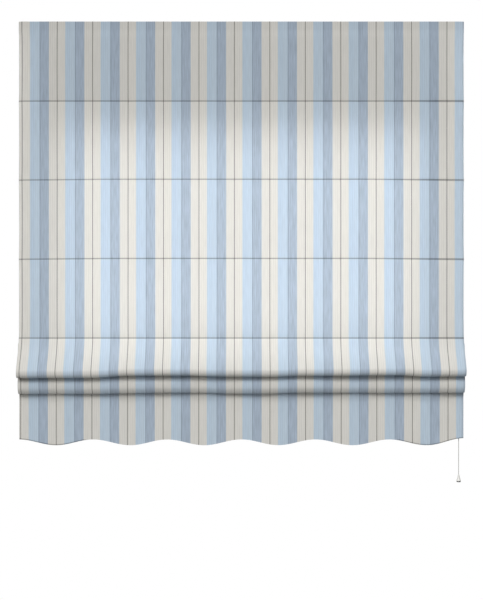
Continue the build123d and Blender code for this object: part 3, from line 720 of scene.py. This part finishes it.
@dataclass(frozen=True)
class Fold:
    """A hanging fold of the cloth, whose corners are shares of how far it hangs and stands out.

    Attributes:
        drop: how far its lip hangs below the lowest seam.
        forward: how far it stands out.
        out_shares: how far each corner stands out.
        down_shares: how far each corner hangs down.
        ripple: how it stands back and forward across the width.
        lip: how much lower its lip hangs, across the width.
    """

    drop: float
    forward: float
    out_shares: tuple[float, ...]
    down_shares: tuple[float, ...]
    ripple: Ripple
    lip: Wave

    def corners(self, y: float, z: float, thickness: float) -> list[tuple[float, float, None]]:
        """Lay out the corners, which all have wide bends.

        Args:
            y: the cloth's place from front to back, at the lowest seam.
            z: the lowest seam's height.
            thickness: the cloth's thickness.

        Returns:
            The corners, each with no radius of its own.
        """
        low = self.drop - thickness / 2
        shares = zip(self.out_shares, self.down_shares)
        return [(y - self.forward * out, z - low * down, None) for out, down in shares]


@dataclass
class ClothRow:
    """One line across the cloth, and how much it takes part in each wave and seam.

    Attributes:
        y: its place from front to back, before the waves.
        z: its height, before the waves.
        run: how far down the cloth it is, measured along the cloth.
        seam: how far it is from the nearest seam.
        belly: how far its flat section stands out here, as a share.
        fold_1: its share of the wave of the first fold's lip.
        fold_2: its share of the wave of the second fold's lip.
        valance: its share of the hem's scallops.
        hem: its height above the hem, or more than the painted shade along the hem reaches.
        lift: how far it hangs above the seams' even spacing.
        bow: how far its ends hang below its middle.
        tuck: its share of the valance's fall behind the second fold.
    """

    y: float
    z: float
    run: float
    seam: float
    belly: float = 0.0
    fold_1: float = 0.0
    fold_2: float = 0.0
    valance: float = 0.0
    hem: float = 1.0
    lift: float = 0.0
    bow: float = 0.0
    tuck: float = 0.0


@dataclass
class BlindCloth:
    """The striped cloth: four flat sections, two hanging folds and a scalloped valance."""

    shelf: FinishShelf
    travel: float
    # The whole cloth and its grid
    width: float = CLOTH_WIDTH
    thickness: float = 0.001
    top: float = CLOTH_TOP
    mid_y: float = -0.0409
    column_step: float = 0.0125
    row_step: float = 0.005
    # Flat sections, which stand out between their seams, slack in places, and pull in at the sides
    section: float = 0.231
    sections: int = 4
    header: float = 0.030
    billow: float = 0.0036
    pillow_power: float = 0.42
    slack_share: float = 0.15
    slack_rates: tuple[float, float, float, float] = (9.0, 7.0, 5.0, -3.0)
    waist: float = 0.0018
    waist_reach: float = 0.10
    near_shares: tuple[float, ...] = (0.0, 0.003, 0.007, 0.012, 0.018, 0.027, 0.04, 0.06, 0.085)
    middle_rows: int = 20
    # Seams, a little off their even spacing, with ends that hang and a painted shade that is wider and
    # darker at the right
    seam_lifts: tuple[float, ...] = (0.0, -0.0015, 0.0015, 0.0015, 0.0)
    seam_bows: tuple[float, ...] = (0.0, 0.0, 0.0026, 0.0026, 0.0)
    bow_from: float = 0.33
    bow_to: float = 0.70
    seam_shade_widening: float = 0.0010
    seam_shade_widening_from: float = 0.40
    seam_shade_widening_to: float = 0.62
    # The two folds
    fold_1: Fold = Fold(
        drop=0.112,
        forward=0.0435,
        out_shares=(0.218, 0.81, 1.0, 0.957, 0.80),
        down_shares=(0.278, 0.69, 0.834, 0.937, 1.0),
        ripple=Ripple(0.0022, 11.0, 0.8),
        lip=(
            (-0.65, 0.0026), (-0.45, 0.0024), (-0.32, -0.0044), (-0.17, -0.0050), (-0.055, -0.0020),
            (0.09, -0.0010), (0.17, -0.0040), (0.46, -0.0055), (0.535, -0.0018), (0.65, -0.0022),
        ),
    )
    fold_2: Fold = Fold(
        drop=0.162,
        forward=0.0185,
        out_shares=(0.2811, 1.0, 0.897, 0.595, 0.378, 0.173),
        down_shares=(0.2848, 0.834, 0.92, 0.975, 1.0, 1.0),
        ripple=Ripple(0.0012, 14.0, 2.1),
        lip=(
            (-0.65, 0.0002), (-0.46, 0.0003), (-0.20, -0.0034), (-0.11, -0.0026), (-0.03, -0.0008),
            (0.06, -0.0006), (0.18, -0.0036), (0.42, -0.0026), (0.65, -0.0032),
        ),
    )
    # Crests behind the folds, over the fifth stay and the bar, and the corners before each lip and crest
    fold_gap: float = 0.002
    rod_5_drop: float = 0.020
    bar_drop: float = 0.046
    crest_gap: float = 0.0032
    crest_rise: float = 0.0035
    crest_corner_share: float = 0.46
    neck_flat: float = 0.007
    bend_share: float = 0.45
    turn_corners: tuple[int, ...] = (4, 6, 13, 15)
    # Valance, with stripes a little wider, which falls back below the second fold
    setback: float = 0.001
    hem_depth: float = 1.2375
    scallop: float = 0.017
    scallops: int = 6
    valance_spread: float = 0.9923
    valance_ripple: Ripple = Ripple(0.0016, 9.0, 0.4)
    valance_beat: float = 4.0
    tuck: float = 0.007
    tuck_reach: float = 0.030
    # Hems: sides rolled back, a foot with its right corner risen, and painted shade along the foot's lower
    # edge, stronger at its ends
    hem_layers: int = 2
    side_hem: float = 0.025
    edge_shares: tuple[float, ...] = (0.6, 0.4, 0.28, 0.2, 0.14, 0.08, 0.04, 0.0)
    edge_roll: float = 0.0028
    edge_roll_share: float = 0.3
    foot_hem: float = 0.014
    hem_corner: Wave = ((0.56, 0.0), (0.65, 0.0036))
    hem_shade_lift: float = 0.0019
    hem_end_shade_lift: float = -0.0012
    hem_shade_from: float = 0.46

    @property
    def seam_4(self) -> float:
        """The height of the lowest seam of the flat sections."""
        return self.top - self.sections * self.section

    def columns(self) -> list[float]:
        """Space the columns, closer together in the side hems and at their rolled edges.

        Returns:
            Places across the width, from the left.
        """
        half = self.width / 2
        inner = half - self.side_hem
        count = round(2 * inner / self.column_step)
        middle = [-inner + 2 * inner * i / count for i in range(count + 1)]
        edge = [inner + self.thickness] + [half - self.side_hem * share for share in self.edge_shares]
        return [-x for x in reversed(edge)] + middle + edge

    def pillow(self, t: float) -> float:
        """How far a flat section stands out at a share of its height: quickly near the seams, then flat."""
        return math.sin(math.pi * min(max(t, 0.0), 1.0)) ** self.pillow_power

    def flat_rows(self) -> list[ClothRow]:
        """Lay out the four flat sections, with rows close together near the seams.

        Returns:
            The rows, from the top down.
        """
        near, count = self.near_shares, self.middle_rows
        far = [near[-1] + (1 - 2 * near[-1]) * i / count for i in range(1, count)]
        shares = [*near, *far, *(1 - t for t in reversed(near))]
        rows = []
        for i in range(self.sections):
            for t in shares[(1 if i else 0):]:
                z = self.top - self.section * (i + t)
                lead = self.header / self.section if i == 0 else 0.0
                belly = self.pillow((t - lead) / (1 - lead)) if t > lead else 0.0
                seam = min(t if i else 1.0, 1 - t) * self.section
                row = ClothRow(self.mid_y - self.billow * belly, z, self.top - z, seam, belly)
                row.lift = self.seam_lifts[i] + (self.seam_lifts[i + 1] - self.seam_lifts[i]) * t
                row.bow = self.seam_bows[i] + (self.seam_bows[i + 1] - self.seam_bows[i]) * t
                rows.append(row)
        return rows

    def fold_points(self) -> tuple[Line, list[float | None]]:
        """Lay out the corners of the folds and the valance.

        Returns:
            The corner points, and the radius at each inner one, or none for a wide bend.
        """
        y0, z0 = self.mid_y, self.seam_4
        low_1 = z0 - (self.fold_1.drop - self.thickness / 2)
        crest_1 = z0 - self.rod_5_drop + self.crest_rise
        crest_2 = z0 - self.bar_drop + self.crest_rise
        crest_radius = self.crest_gap * self.crest_corner_share
        back = y0 + self.setback
        route: list[tuple[float, float, float | None]] = [
            (y0, z0, 0.0),
            *self.fold_1.corners(y0, z0, self.thickness),
            (y0 - self.fold_2.forward - self.fold_gap, low_1, None),
            (y0 - self.crest_gap, crest_1, crest_radius),
            (y0, crest_1, crest_radius),
            (y0, z0 - self.rod_5_drop - self.neck_flat, None),
            *self.fold_2.corners(y0, z0, self.thickness),
            (back - self.crest_gap, crest_2, crest_radius),
            (back, crest_2, crest_radius),
            (back, self.top - self.hem_depth, 0.0),
        ]
        return [(y, z) for y, z, _ in route], [r for _, _, r in route[1:-1]]

    def fold_rows(self) -> list[ClothRow]:
        """Lay out the folds and the valance.

        Returns:
            The rows, from the lowest seam to the hem.
        """
        points, radii = self.fold_points()
        line, middles = rounded_line(points, radii, self.row_step, self.bend_share)
        lip_1, crest_1, lip_2, crest_2 = ((middles[i] + middles[i + 1]) // 2 for i in self.turn_corners)
        rows = []
        run = self.sections * self.section
        z0 = self.seam_4
        for k, (y, z) in enumerate(line):
            if k:
                run += math.dist(line[k - 1], line[k])
            row = ClothRow(y, z, run, run - self.sections * self.section)
            if k <= crest_1:
                top = z0 if k <= lip_1 else line[crest_1][1]
                row.fold_1 = (top - z) / (top - line[lip_1][1])
            elif k <= crest_2:
                top = line[crest_1][1] if k <= lip_2 else line[crest_2][1]
                row.fold_2 = (top - z) / (top - line[lip_2][1])
            else:
                row.valance = (line[crest_2][1] - z) / (line[crest_2][1] - line[-1][1])
                row.hem = z - line[-1][1]
                below = min(max((line[lip_2][1] - z) / self.tuck_reach, 0.0), 1.0)
                row.tuck = 1 - (1 - below) ** 2
            rows.append(row)
        return rows

    def face(self, rows: list[ClothRow]) -> list[ClothRow]:
        """Move the rows from the cloth's middle to its face.

        Args:
            rows: the rows in the middle of the cloth's thickness.

        Returns:
            The rows half a thickness further out.
        """
        moved = []
        for k, row in enumerate(rows):
            before, after = rows[max(k - 1, 0)], rows[min(k + 1, len(rows) - 1)]
            dy, dz = after.y - before.y, after.z - before.z
            out = self.thickness / 2 / math.hypot(dy, dz)
            moved.append(replace(row, y=row.y + dz * out, z=row.z - dy * out))
        return moved

    def hem_rise(self, x: float) -> float:
        """How far the scalloped hem stands above its lowest line."""
        turn = 2 * math.pi * self.scallops * (x / self.width + 0.5)
        return self.scallop * (1 + math.cos(turn)) / 2 + through(self.hem_corner, x)

    def place(self, row: ClothRow, x: float) -> Point:
        """Where one point of the cloth hangs.

        Args:
            row: the line across the cloth that it is on.
            x: its place across the width.

        Returns:
            The point in the shared frame.
        """
        edge = smoothstep(self.width / 2 - self.waist_reach, self.width / 2, abs(x))
        pulled = x - math.copysign(self.waist * edge * row.belly, x)
        across_1, down_1, across_2, down_2 = self.slack_rates
        slack = 1 - math.sin(across_1 * x + down_1 * row.z) * math.cos(across_2 * x + down_2 * row.z)
        roll = self.side_hem * self.edge_roll_share
        rolled = max(0.0, 1 - (self.width / 2 - abs(x)) / roll) ** 2
        y = row.y + self.billow * row.belly * self.slack_share * slack
        y += self.tuck * row.tuck + self.edge_roll * rolled
        y += row.valance * self.valance_ripple.at(x) * math.cos(self.valance_beat * x)
        z = row.z + row.lift - row.bow * smoothstep(self.bow_from, self.bow_to, abs(x))
        z += row.valance * self.hem_rise(x)
        for fold, share in ((self.fold_1, row.fold_1), (self.fold_2, row.fold_2)):
            y += share * fold.ripple.at(x)
            z -= share * through(fold.lip, x)
        return pulled, y, z

    def shape(self, obj: bpy.types.Object, rows: list[ClothRow]) -> None:
        """Hang a flat grid as cloth, with its place on the flat cloth and its distance from the seams.

        Args:
            obj: the grid, whose one vertex group gets the cloth's layers.
            rows: its lines across, from the top down.
        """
        columns = self.columns()
        across, down = len(columns) - 1, len(rows) - 1
        mesh = obj.data
        foot_from = rows[-1].run - self.foot_hem if rows[-1].valance else math.inf
        side_from = self.width / 2 - self.side_hem - SAME_PLACE
        flat: list[tuple[float, float]] = []
        to_seam: list[float] = []
        # The flat grid is one metre square, with its middle at the origin
        for v in mesh.vertices:
            x = columns[round((v.co.x + 0.5) * across)]
            row = rows[round((0.5 - v.co.y) * down)]
            v.co = self.place(row, x)
            # Painted shade: each point's distance from a seam or the foot sets how dark its colour is
            # painted; the seams' shade is wider at the right and the foot's is stronger at its ends
            foot_shade_lift = self.hem_shade_lift if abs(x) < self.hem_shade_from else self.hem_end_shade_lift
            shade_widening = self.seam_shade_widening * smoothstep(self.seam_shade_widening_from, self.seam_shade_widening_to, x)
            to_seam.append(min(row.seam - shade_widening, row.hem + foot_shade_lift))
            spread = self.valance_spread if row.valance else 1.0
            flat.append((x * spread + self.width / 2, row.run))
            layers = self.hem_layers if abs(x) > side_from or row.run > foot_from else 1
            obj.vertex_groups[0].add([v.index], layers / self.hem_layers, "REPLACE")
        mesh.attributes.new(SEAM_ATTRIBUTE, "FLOAT", "POINT")
        mesh.attributes[SEAM_ATTRIBUTE].data.foreach_set("value", to_seam)
        mesh.uv_layers[0].name = CLOTH_UV
        layer = mesh.uv_layers[CLOTH_UV]
        for loop in mesh.loops:
            layer.data[loop.index].uv = flat[loop.vertex_index]

    def build_sheet(self, name: str, rows: list[ClothRow]) -> bpy.types.Object:
        """Make one stretch of cloth from a grid.

        Args:
            name: the piece's name.
            rows: its lines across, from the top down.

        Returns:
            The finished piece.
        """
        deselect_all()
        bpy.ops.mesh.primitive_grid_add(
            x_subdivisions=len(self.columns()) - 1, y_subdivisions=len(rows) - 1, size=1.0
        )
        obj = bpy.context.object
        obj.name = name
        obj.data.name = name
        layers = obj.vertex_groups.new(name="thickness")
        self.shape(obj, rows)
        make_active(obj)
        bpy.ops.object.modifier_add(type="SOLIDIFY")
        wall = obj.modifiers[-1]
        wall.thickness = self.hem_layers * self.thickness
        # All of the thickness goes behind the face
        wall.offset = -1.0
        wall.vertex_group = layers.name
        wall.use_even_offset = False
        bpy.ops.object.modifier_apply(modifier=wall.name)
        bpy.ops.object.shade_smooth_by_angle(angle=SMOOTH_EDGE)
        self.shelf.dress(obj, Slot.CLOTH)
        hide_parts("blind_cloth")
        return obj

    def build(self) -> list[bpy.types.Object]:
        """Hang the cloth: the flat sections hang from the rail, the folds ride with the raised stays.

        Returns:
            The two stretches of cloth.
        """
        flat_rows, fold_rows = self.face(self.flat_rows()), self.face(self.fold_rows())
        upper = self.build_sheet("cloth_flat_sections", flat_rows)
        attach(upper, Body.RAIL.value)
        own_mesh(upper)
        lower = self.build_sheet("cloth_folds_and_valance", fold_rows)
        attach(lower, Body.STACK.value)
        LOG.info("cloth cut length %.3f m", fold_rows[-1].run)
        return [upper, lower]


def rounded_line(
    points: Line, radii: list[float | None], step: float, bend_share: float
) -> tuple[Line, list[int]]:
    """Follow a cornered line with an arc at each inner corner.

    Args:
        points: the corners.
        radii: the arc's radius at each inner corner, or none for an arc as wide as its runs allow.
        step: the longest step along a straight run.
        bend_share: the share of the shorter run that a wide arc takes up.

    Returns:
        Points along the line, and the place in it of each inner corner's middle.
    """
    line = [points[0]]
    middles = []
    for i, radius in enumerate(radii, start=1):
        (ay, az), (by, bz), (cy, cz) = points[i - 1], points[i], points[i + 1]
        heading = math.atan2(bz - az, by - ay)
        turn = math.remainder(math.atan2(cz - bz, cy - by) - heading, 2 * math.pi)
        reach = min(math.dist(points[i], points[i - 1]), math.dist(points[i], points[i + 1])) * bend_share
        if radius is not None:
            reach = radius * math.tan(abs(turn) / 2)
        radius = math.copysign(reach / math.tan(abs(turn) / 2), turn)
        add_run(line, (by - reach * math.cos(heading), bz - reach * math.sin(heading)), step)
        centre_y = line[-1][0] - radius * math.sin(heading)
        centre_z = line[-1][1] + radius * math.cos(heading)
        count = max(2, math.ceil(abs(turn) / ARC_STEP), math.ceil(abs(radius * turn) / step))
        for k in range(1, count + 1):
            angle = heading + turn * k / count
            line.append((centre_y + radius * math.sin(angle), centre_z - radius * math.cos(angle)))
        middles.append(len(line) - 1 - count // 2)
    add_run(line, points[-1], step)
    return line, middles


def add_run(line: Line, end: tuple[float, float], step: float) -> None:
    """Run straight on to a point in steps.

    Args:
        line: the points so far, to which the run is added.
        end: the point to reach.
        step: the longest step.
    """
    y0, z0 = line[-1]
    length = math.dist(line[-1], end)
    count = max(1, math.ceil(length / step))
    for k in range(1, count + 1):
        line.append((y0 + (end[0] - y0) * k / count, z0 + (end[1] - z0) * k / count))


# Cords


@dataclass
class CordMaker:
    """Makes cords as smooth splines with a round section."""

    shelf: FinishShelf
    section_steps: int = 3
    span_steps: int = 10

    def spline(self, name: str, route: list[Point], radius: float) -> bpy.types.Object:
        """Make a cord as a curve along its route.

        Args:
            name: the piece's name.
            route: the control points.
            radius: the cord's radius.

        Returns:
            The curve object.
        """
        curve = bpy.data.curves.new(name, "CURVE")
        curve.dimensions = "3D"
        curve.bevel_depth = radius
        curve.bevel_resolution = self.section_steps
        curve.use_fill_caps = True
        curve.resolution_u = self.span_steps
        spline = curve.splines.new("NURBS")
        spline.points.add(len(route) - 1)
        for point, place in zip(spline.points, route):
            point.co = (*place, 1.0)
        spline.order_u = 3
        spline.use_endpoint_u = True
        obj = bpy.data.objects.new(name, curve)
        bpy.context.scene.collection.objects.link(obj)
        self.shelf.dress(obj, Slot.CORD)
        return obj

    def tube(self, name: str, route: list[Point], radius: float) -> bpy.types.Object:
        """Make a cord as a mesh tube along its spline.

        Args:
            name: the piece's name.
            route: the control points.
            radius: the cord's radius.

        Returns:
            The mesh object.
        """
        obj = self.spline(name, route, radius)
        make_active(obj)
        bpy.ops.object.convert(target="MESH")
        obj = bpy.context.object
        bpy.ops.object.shade_smooth()
        return obj


@dataclass
class LiftCord:
    """One lift cord: up behind the cloth, along the rail and down through the lock to the connector."""

    maker: CordMaker
    name: str
    column: float
    lane: float
    travel: float
    radius: float = 0.0007
    top: float = 0.0067
    roller_reach: float = 0.0114
    rail_exit: float = -0.012
    bar_end: float = -0.9621
    pull_x: float = PULL_X
    connector_end: float = -0.563

    def build(self) -> list[bpy.types.Object]:
        """Make the cord's three stretches, each fitted to how it moves.

        Returns:
            The drop behind the cloth, the run in the rail and the tail below the lock.
        """
        node = f"lift_cord_{self.name}"
        x, y = self.column, self.lane
        drop = self.maker.tube(f"{node}_drop", [(x, y, self.rail_exit), (x, y, self.bar_end)], self.radius)
        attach(drop, Body.RAIL.value)
        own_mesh(drop)
        bend = self.top - self.roller_reach
        route = [
            (x, y, self.rail_exit),
            (x, y, bend),
            (x, y, self.top),
            (x + self.roller_reach, y, self.top),
            (self.pull_x - self.roller_reach, y, self.top),
            (self.pull_x, y, self.top),
            (self.pull_x, y, bend),
            (self.pull_x, y, self.rail_exit),
        ]
        run = self.maker.tube(f"{node}_run", route, self.radius)
        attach(run, Body.RAIL.value)
        tail_route = [(self.pull_x, y, self.rail_exit), (self.pull_x, y, self.connector_end)]
        tail = self.maker.tube(f"{node}_tail", tail_route, self.radius)
        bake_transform(tail)
        for piece in (drop, run, tail):
            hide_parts(node)
        return [drop, run, tail]


@dataclass
class PullCord:
    """The pull cord below the connector, with the bell on its end."""

    maker: CordMaker
    radius: float = 0.0010
    route: tuple[Point, ...] = (
        (PULL_X, PULL_Y, -0.5945),
        (PULL_X, PULL_Y, -0.95),
        (PULL_X, PULL_Y, -1.3095),
    )

    def build(self) -> bpy.types.Object:
        """Returns:
            The finished piece.
        """
        cord = self.maker.spline("pull_cord_braid", list(self.route), self.radius)
        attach(cord, Body.PULL.value)
        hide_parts("pull_cord")
        return cord


# Stage


@dataclass(frozen=True)
class Lamp:
    """One light: its kind, place and aim, its power and how soft and how wide it is.

    The spread is a spot's full angle up and down, a sun's own angle or the angle that a panel's
    light keeps to. The size is a panel's width and height, or a spot's radius and how much wider
    than high its beam is.
    """

    name: str
    kind: LampKind
    place: Point
    aim: Point
    power: float
    spread_deg: float
    size: tuple[float, float] = (0.0, 0.0)

    def build(self) -> None:
        """Hang the light."""
        light = bpy.data.lights.new(self.name, self.kind.value)
        light.energy = self.power
        obj = bpy.data.objects.new(self.name, light)
        bpy.context.scene.collection.objects.link(obj)
        obj.location = self.place
        obj.rotation_euler = (Vector(self.aim) - Vector(self.place)).to_track_quat("-Z", "Y").to_euler()
        obj.visible_camera = False
        angle = math.radians(self.spread_deg)
        if self.kind is LampKind.PANEL:
            light.shape = "RECTANGLE"
            light.size, light.size_y = self.size
            light.spread = angle
        elif self.kind is LampKind.SUN:
            light.angle = angle
        else:
            light.spot_size = angle
            light.spot_blend = 1.0
            light.shadow_soft_size, widen = self.size
            obj.scale = (widen, 1.0, 1.0)


# A spot and a wide sun from above, panels that light the middle and the sides, and one from behind
LAMPS = (
    Lamp(
        "key_spot", LampKind.SPOT, place=(0.45, -4.2, 2.6), aim=(0.0, -0.04, -0.95),
        power=440.0, spread_deg=27.0, size=(0.9, 2.85),
    ),
    Lamp(
        "top_sun", LampKind.SUN, place=(-2.0, -4.1, 3.0), aim=(0.0, 0.0, -0.7),
        power=1.86, spread_deg=50.0,
    ),
    Lamp(
        "middle_panel", LampKind.PANEL, place=(0.002, -1.62, -0.343), aim=(0.002, -0.045, -0.621),
        power=0.824, spread_deg=10.0, size=(1.08, 0.632),
    ),
    *(
        Lamp(
            f"{side}_strip", LampKind.PANEL, place=(x, -1.6, -0.36), aim=(x, -0.045, -0.46),
            power=0.05, spread_deg=6.0, size=(0.1, 0.9),
        )
        for side, x in (("left", -0.675), ("right", 0.675))
    ),
    Lamp(
        "back_panel", LampKind.PANEL, place=(0.6, 4.0, 1.6), aim=(0.0, 0.0, -0.6),
        power=160.0, spread_deg=180.0, size=(2.4, 1.8),
    ),
)


@dataclass
class Stage:
    """Camera, lights, floor and background."""

    cloth_top_px: float = 21.5
    cloth_left_px: float = 18.6
    cloth_right_px: float = 464.1
    cloth_front: float = -0.0414
    distance: float = 3.3
    sensor: float = 36.0
    world_light: float = 0.07
    floor_size: float = 3.2
    floor_place: Point = (0.0, -0.5, -2.6)
    floor_finish: PaleFloor = PaleFloor("pale_floor", "D4D4D2", 0.8, seen="F6F6F4")

    def build_camera(self) -> None:
        """Set a level camera so that the cloth fills the same part of the frame as in the photograph."""
        per_px = CLOTH_WIDTH / (self.cloth_right_px - self.cloth_left_px)
        middle_px = (self.cloth_right_px + self.cloth_left_px) / 2
        camera = bpy.data.cameras.new("camera")
        camera.sensor_fit = "VERTICAL"
        camera.sensor_height = self.sensor
        camera.lens = self.sensor * self.distance / (PHOTO_HEIGHT_PX * per_px)
        obj = bpy.data.objects.new("camera", camera)
        bpy.context.scene.collection.objects.link(obj)
        x = (PHOTO_WIDTH_PX / 2 - middle_px) * per_px
        z = CLOTH_TOP - (PHOTO_HEIGHT_PX / 2 - self.cloth_top_px) * per_px
        obj.location = (x, self.cloth_front - self.distance, z)
        obj.rotation_euler = (math.pi / 2, 0, 0)
        bpy.context.scene.camera = obj

    def build_world(self) -> None:
        """Make a background that is white to the camera, gloss and glass, with a dim even light."""
        world = bpy.data.worlds.new("studio")
        bpy.context.scene.world = world
        world.use_nodes = True
        tree = world.node_tree
        tree.nodes.clear()
        path = add_node(tree, "ShaderNodeLightPath")
        seen = path.outputs["Is Camera Ray"]
        for ray in ("Is Glossy Ray", "Is Transmission Ray"):
            seen = add_node(
                tree, "ShaderNodeMath", {"operation": "MAXIMUM"}, at_0=seen, at_1=path.outputs[ray]
            ).outputs["Value"]
        strength = add_node(tree, "ShaderNodeMapRange", Value=seen, To_Min=self.world_light, To_Max=1.0)
        background = add_node(
            tree, "ShaderNodeBackground", Color=linear("FFFFFF"), Strength=strength.outputs["Result"]
        )
        add_node(tree, "ShaderNodeOutputWorld", Surface=background.outputs["Background"])

    def build_floor(self) -> None:
        """Lay a plain pale floor below the blind."""
        deselect_all()
        bpy.ops.mesh.primitive_plane_add(size=self.floor_size, location=self.floor_place)
        floor = bpy.context.object
        floor.name = "floor"
        floor.data.materials.append(self.floor_finish.build())

    def build(self) -> None:
        """Set up the whole stage."""
        bpy.context.scene.view_settings.view_transform = "Standard"
        self.build_camera()
        for lamp in LAMPS:
            lamp.build()
        self.build_world()
        self.build_floor()


def dress_nodes(frame: dict, shelf: FinishShelf) -> None:
    """Give every CAD node the finish of its slot.

    Args:
        frame: the loaded frame.
        shelf: the finishes.
    """
    for entry in frame["record"]["subparts"]:
        node = frame["nodes"][entry["node"]]
        shelf.dress(node, Slot(entry["material_slot"]))
        LOG.info("node %s in %s", entry["node"], entry["material_slot"])


def main() -> None:
    """Build the scene, piece by piece."""
    logging.basicConfig(level=logging.INFO, format="%(name)s: %(message)s")
    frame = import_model()
    travel = next(j for j in frame["joints"] if j["name"] == Joint.LIFT.value)["range_m"][1]
    Stage().build()
    shelf = FinishShelf({})
    dress_nodes(frame, shelf)
    maker = CordMaker(shelf)
    LOG.info("piece %s", PullCord(maker).build().name)
    for name, column, lane in LIFT_CORDS:
        for piece in LiftCord(maker, name, column, lane, travel).build():
            LOG.info("piece %s", piece.name)
    for piece in BlindCloth(shelf, travel).build():
        LOG.info("piece %s, %d faces", piece.name, len(piece.data.polygons))


if __name__ == "__main__":
    main()
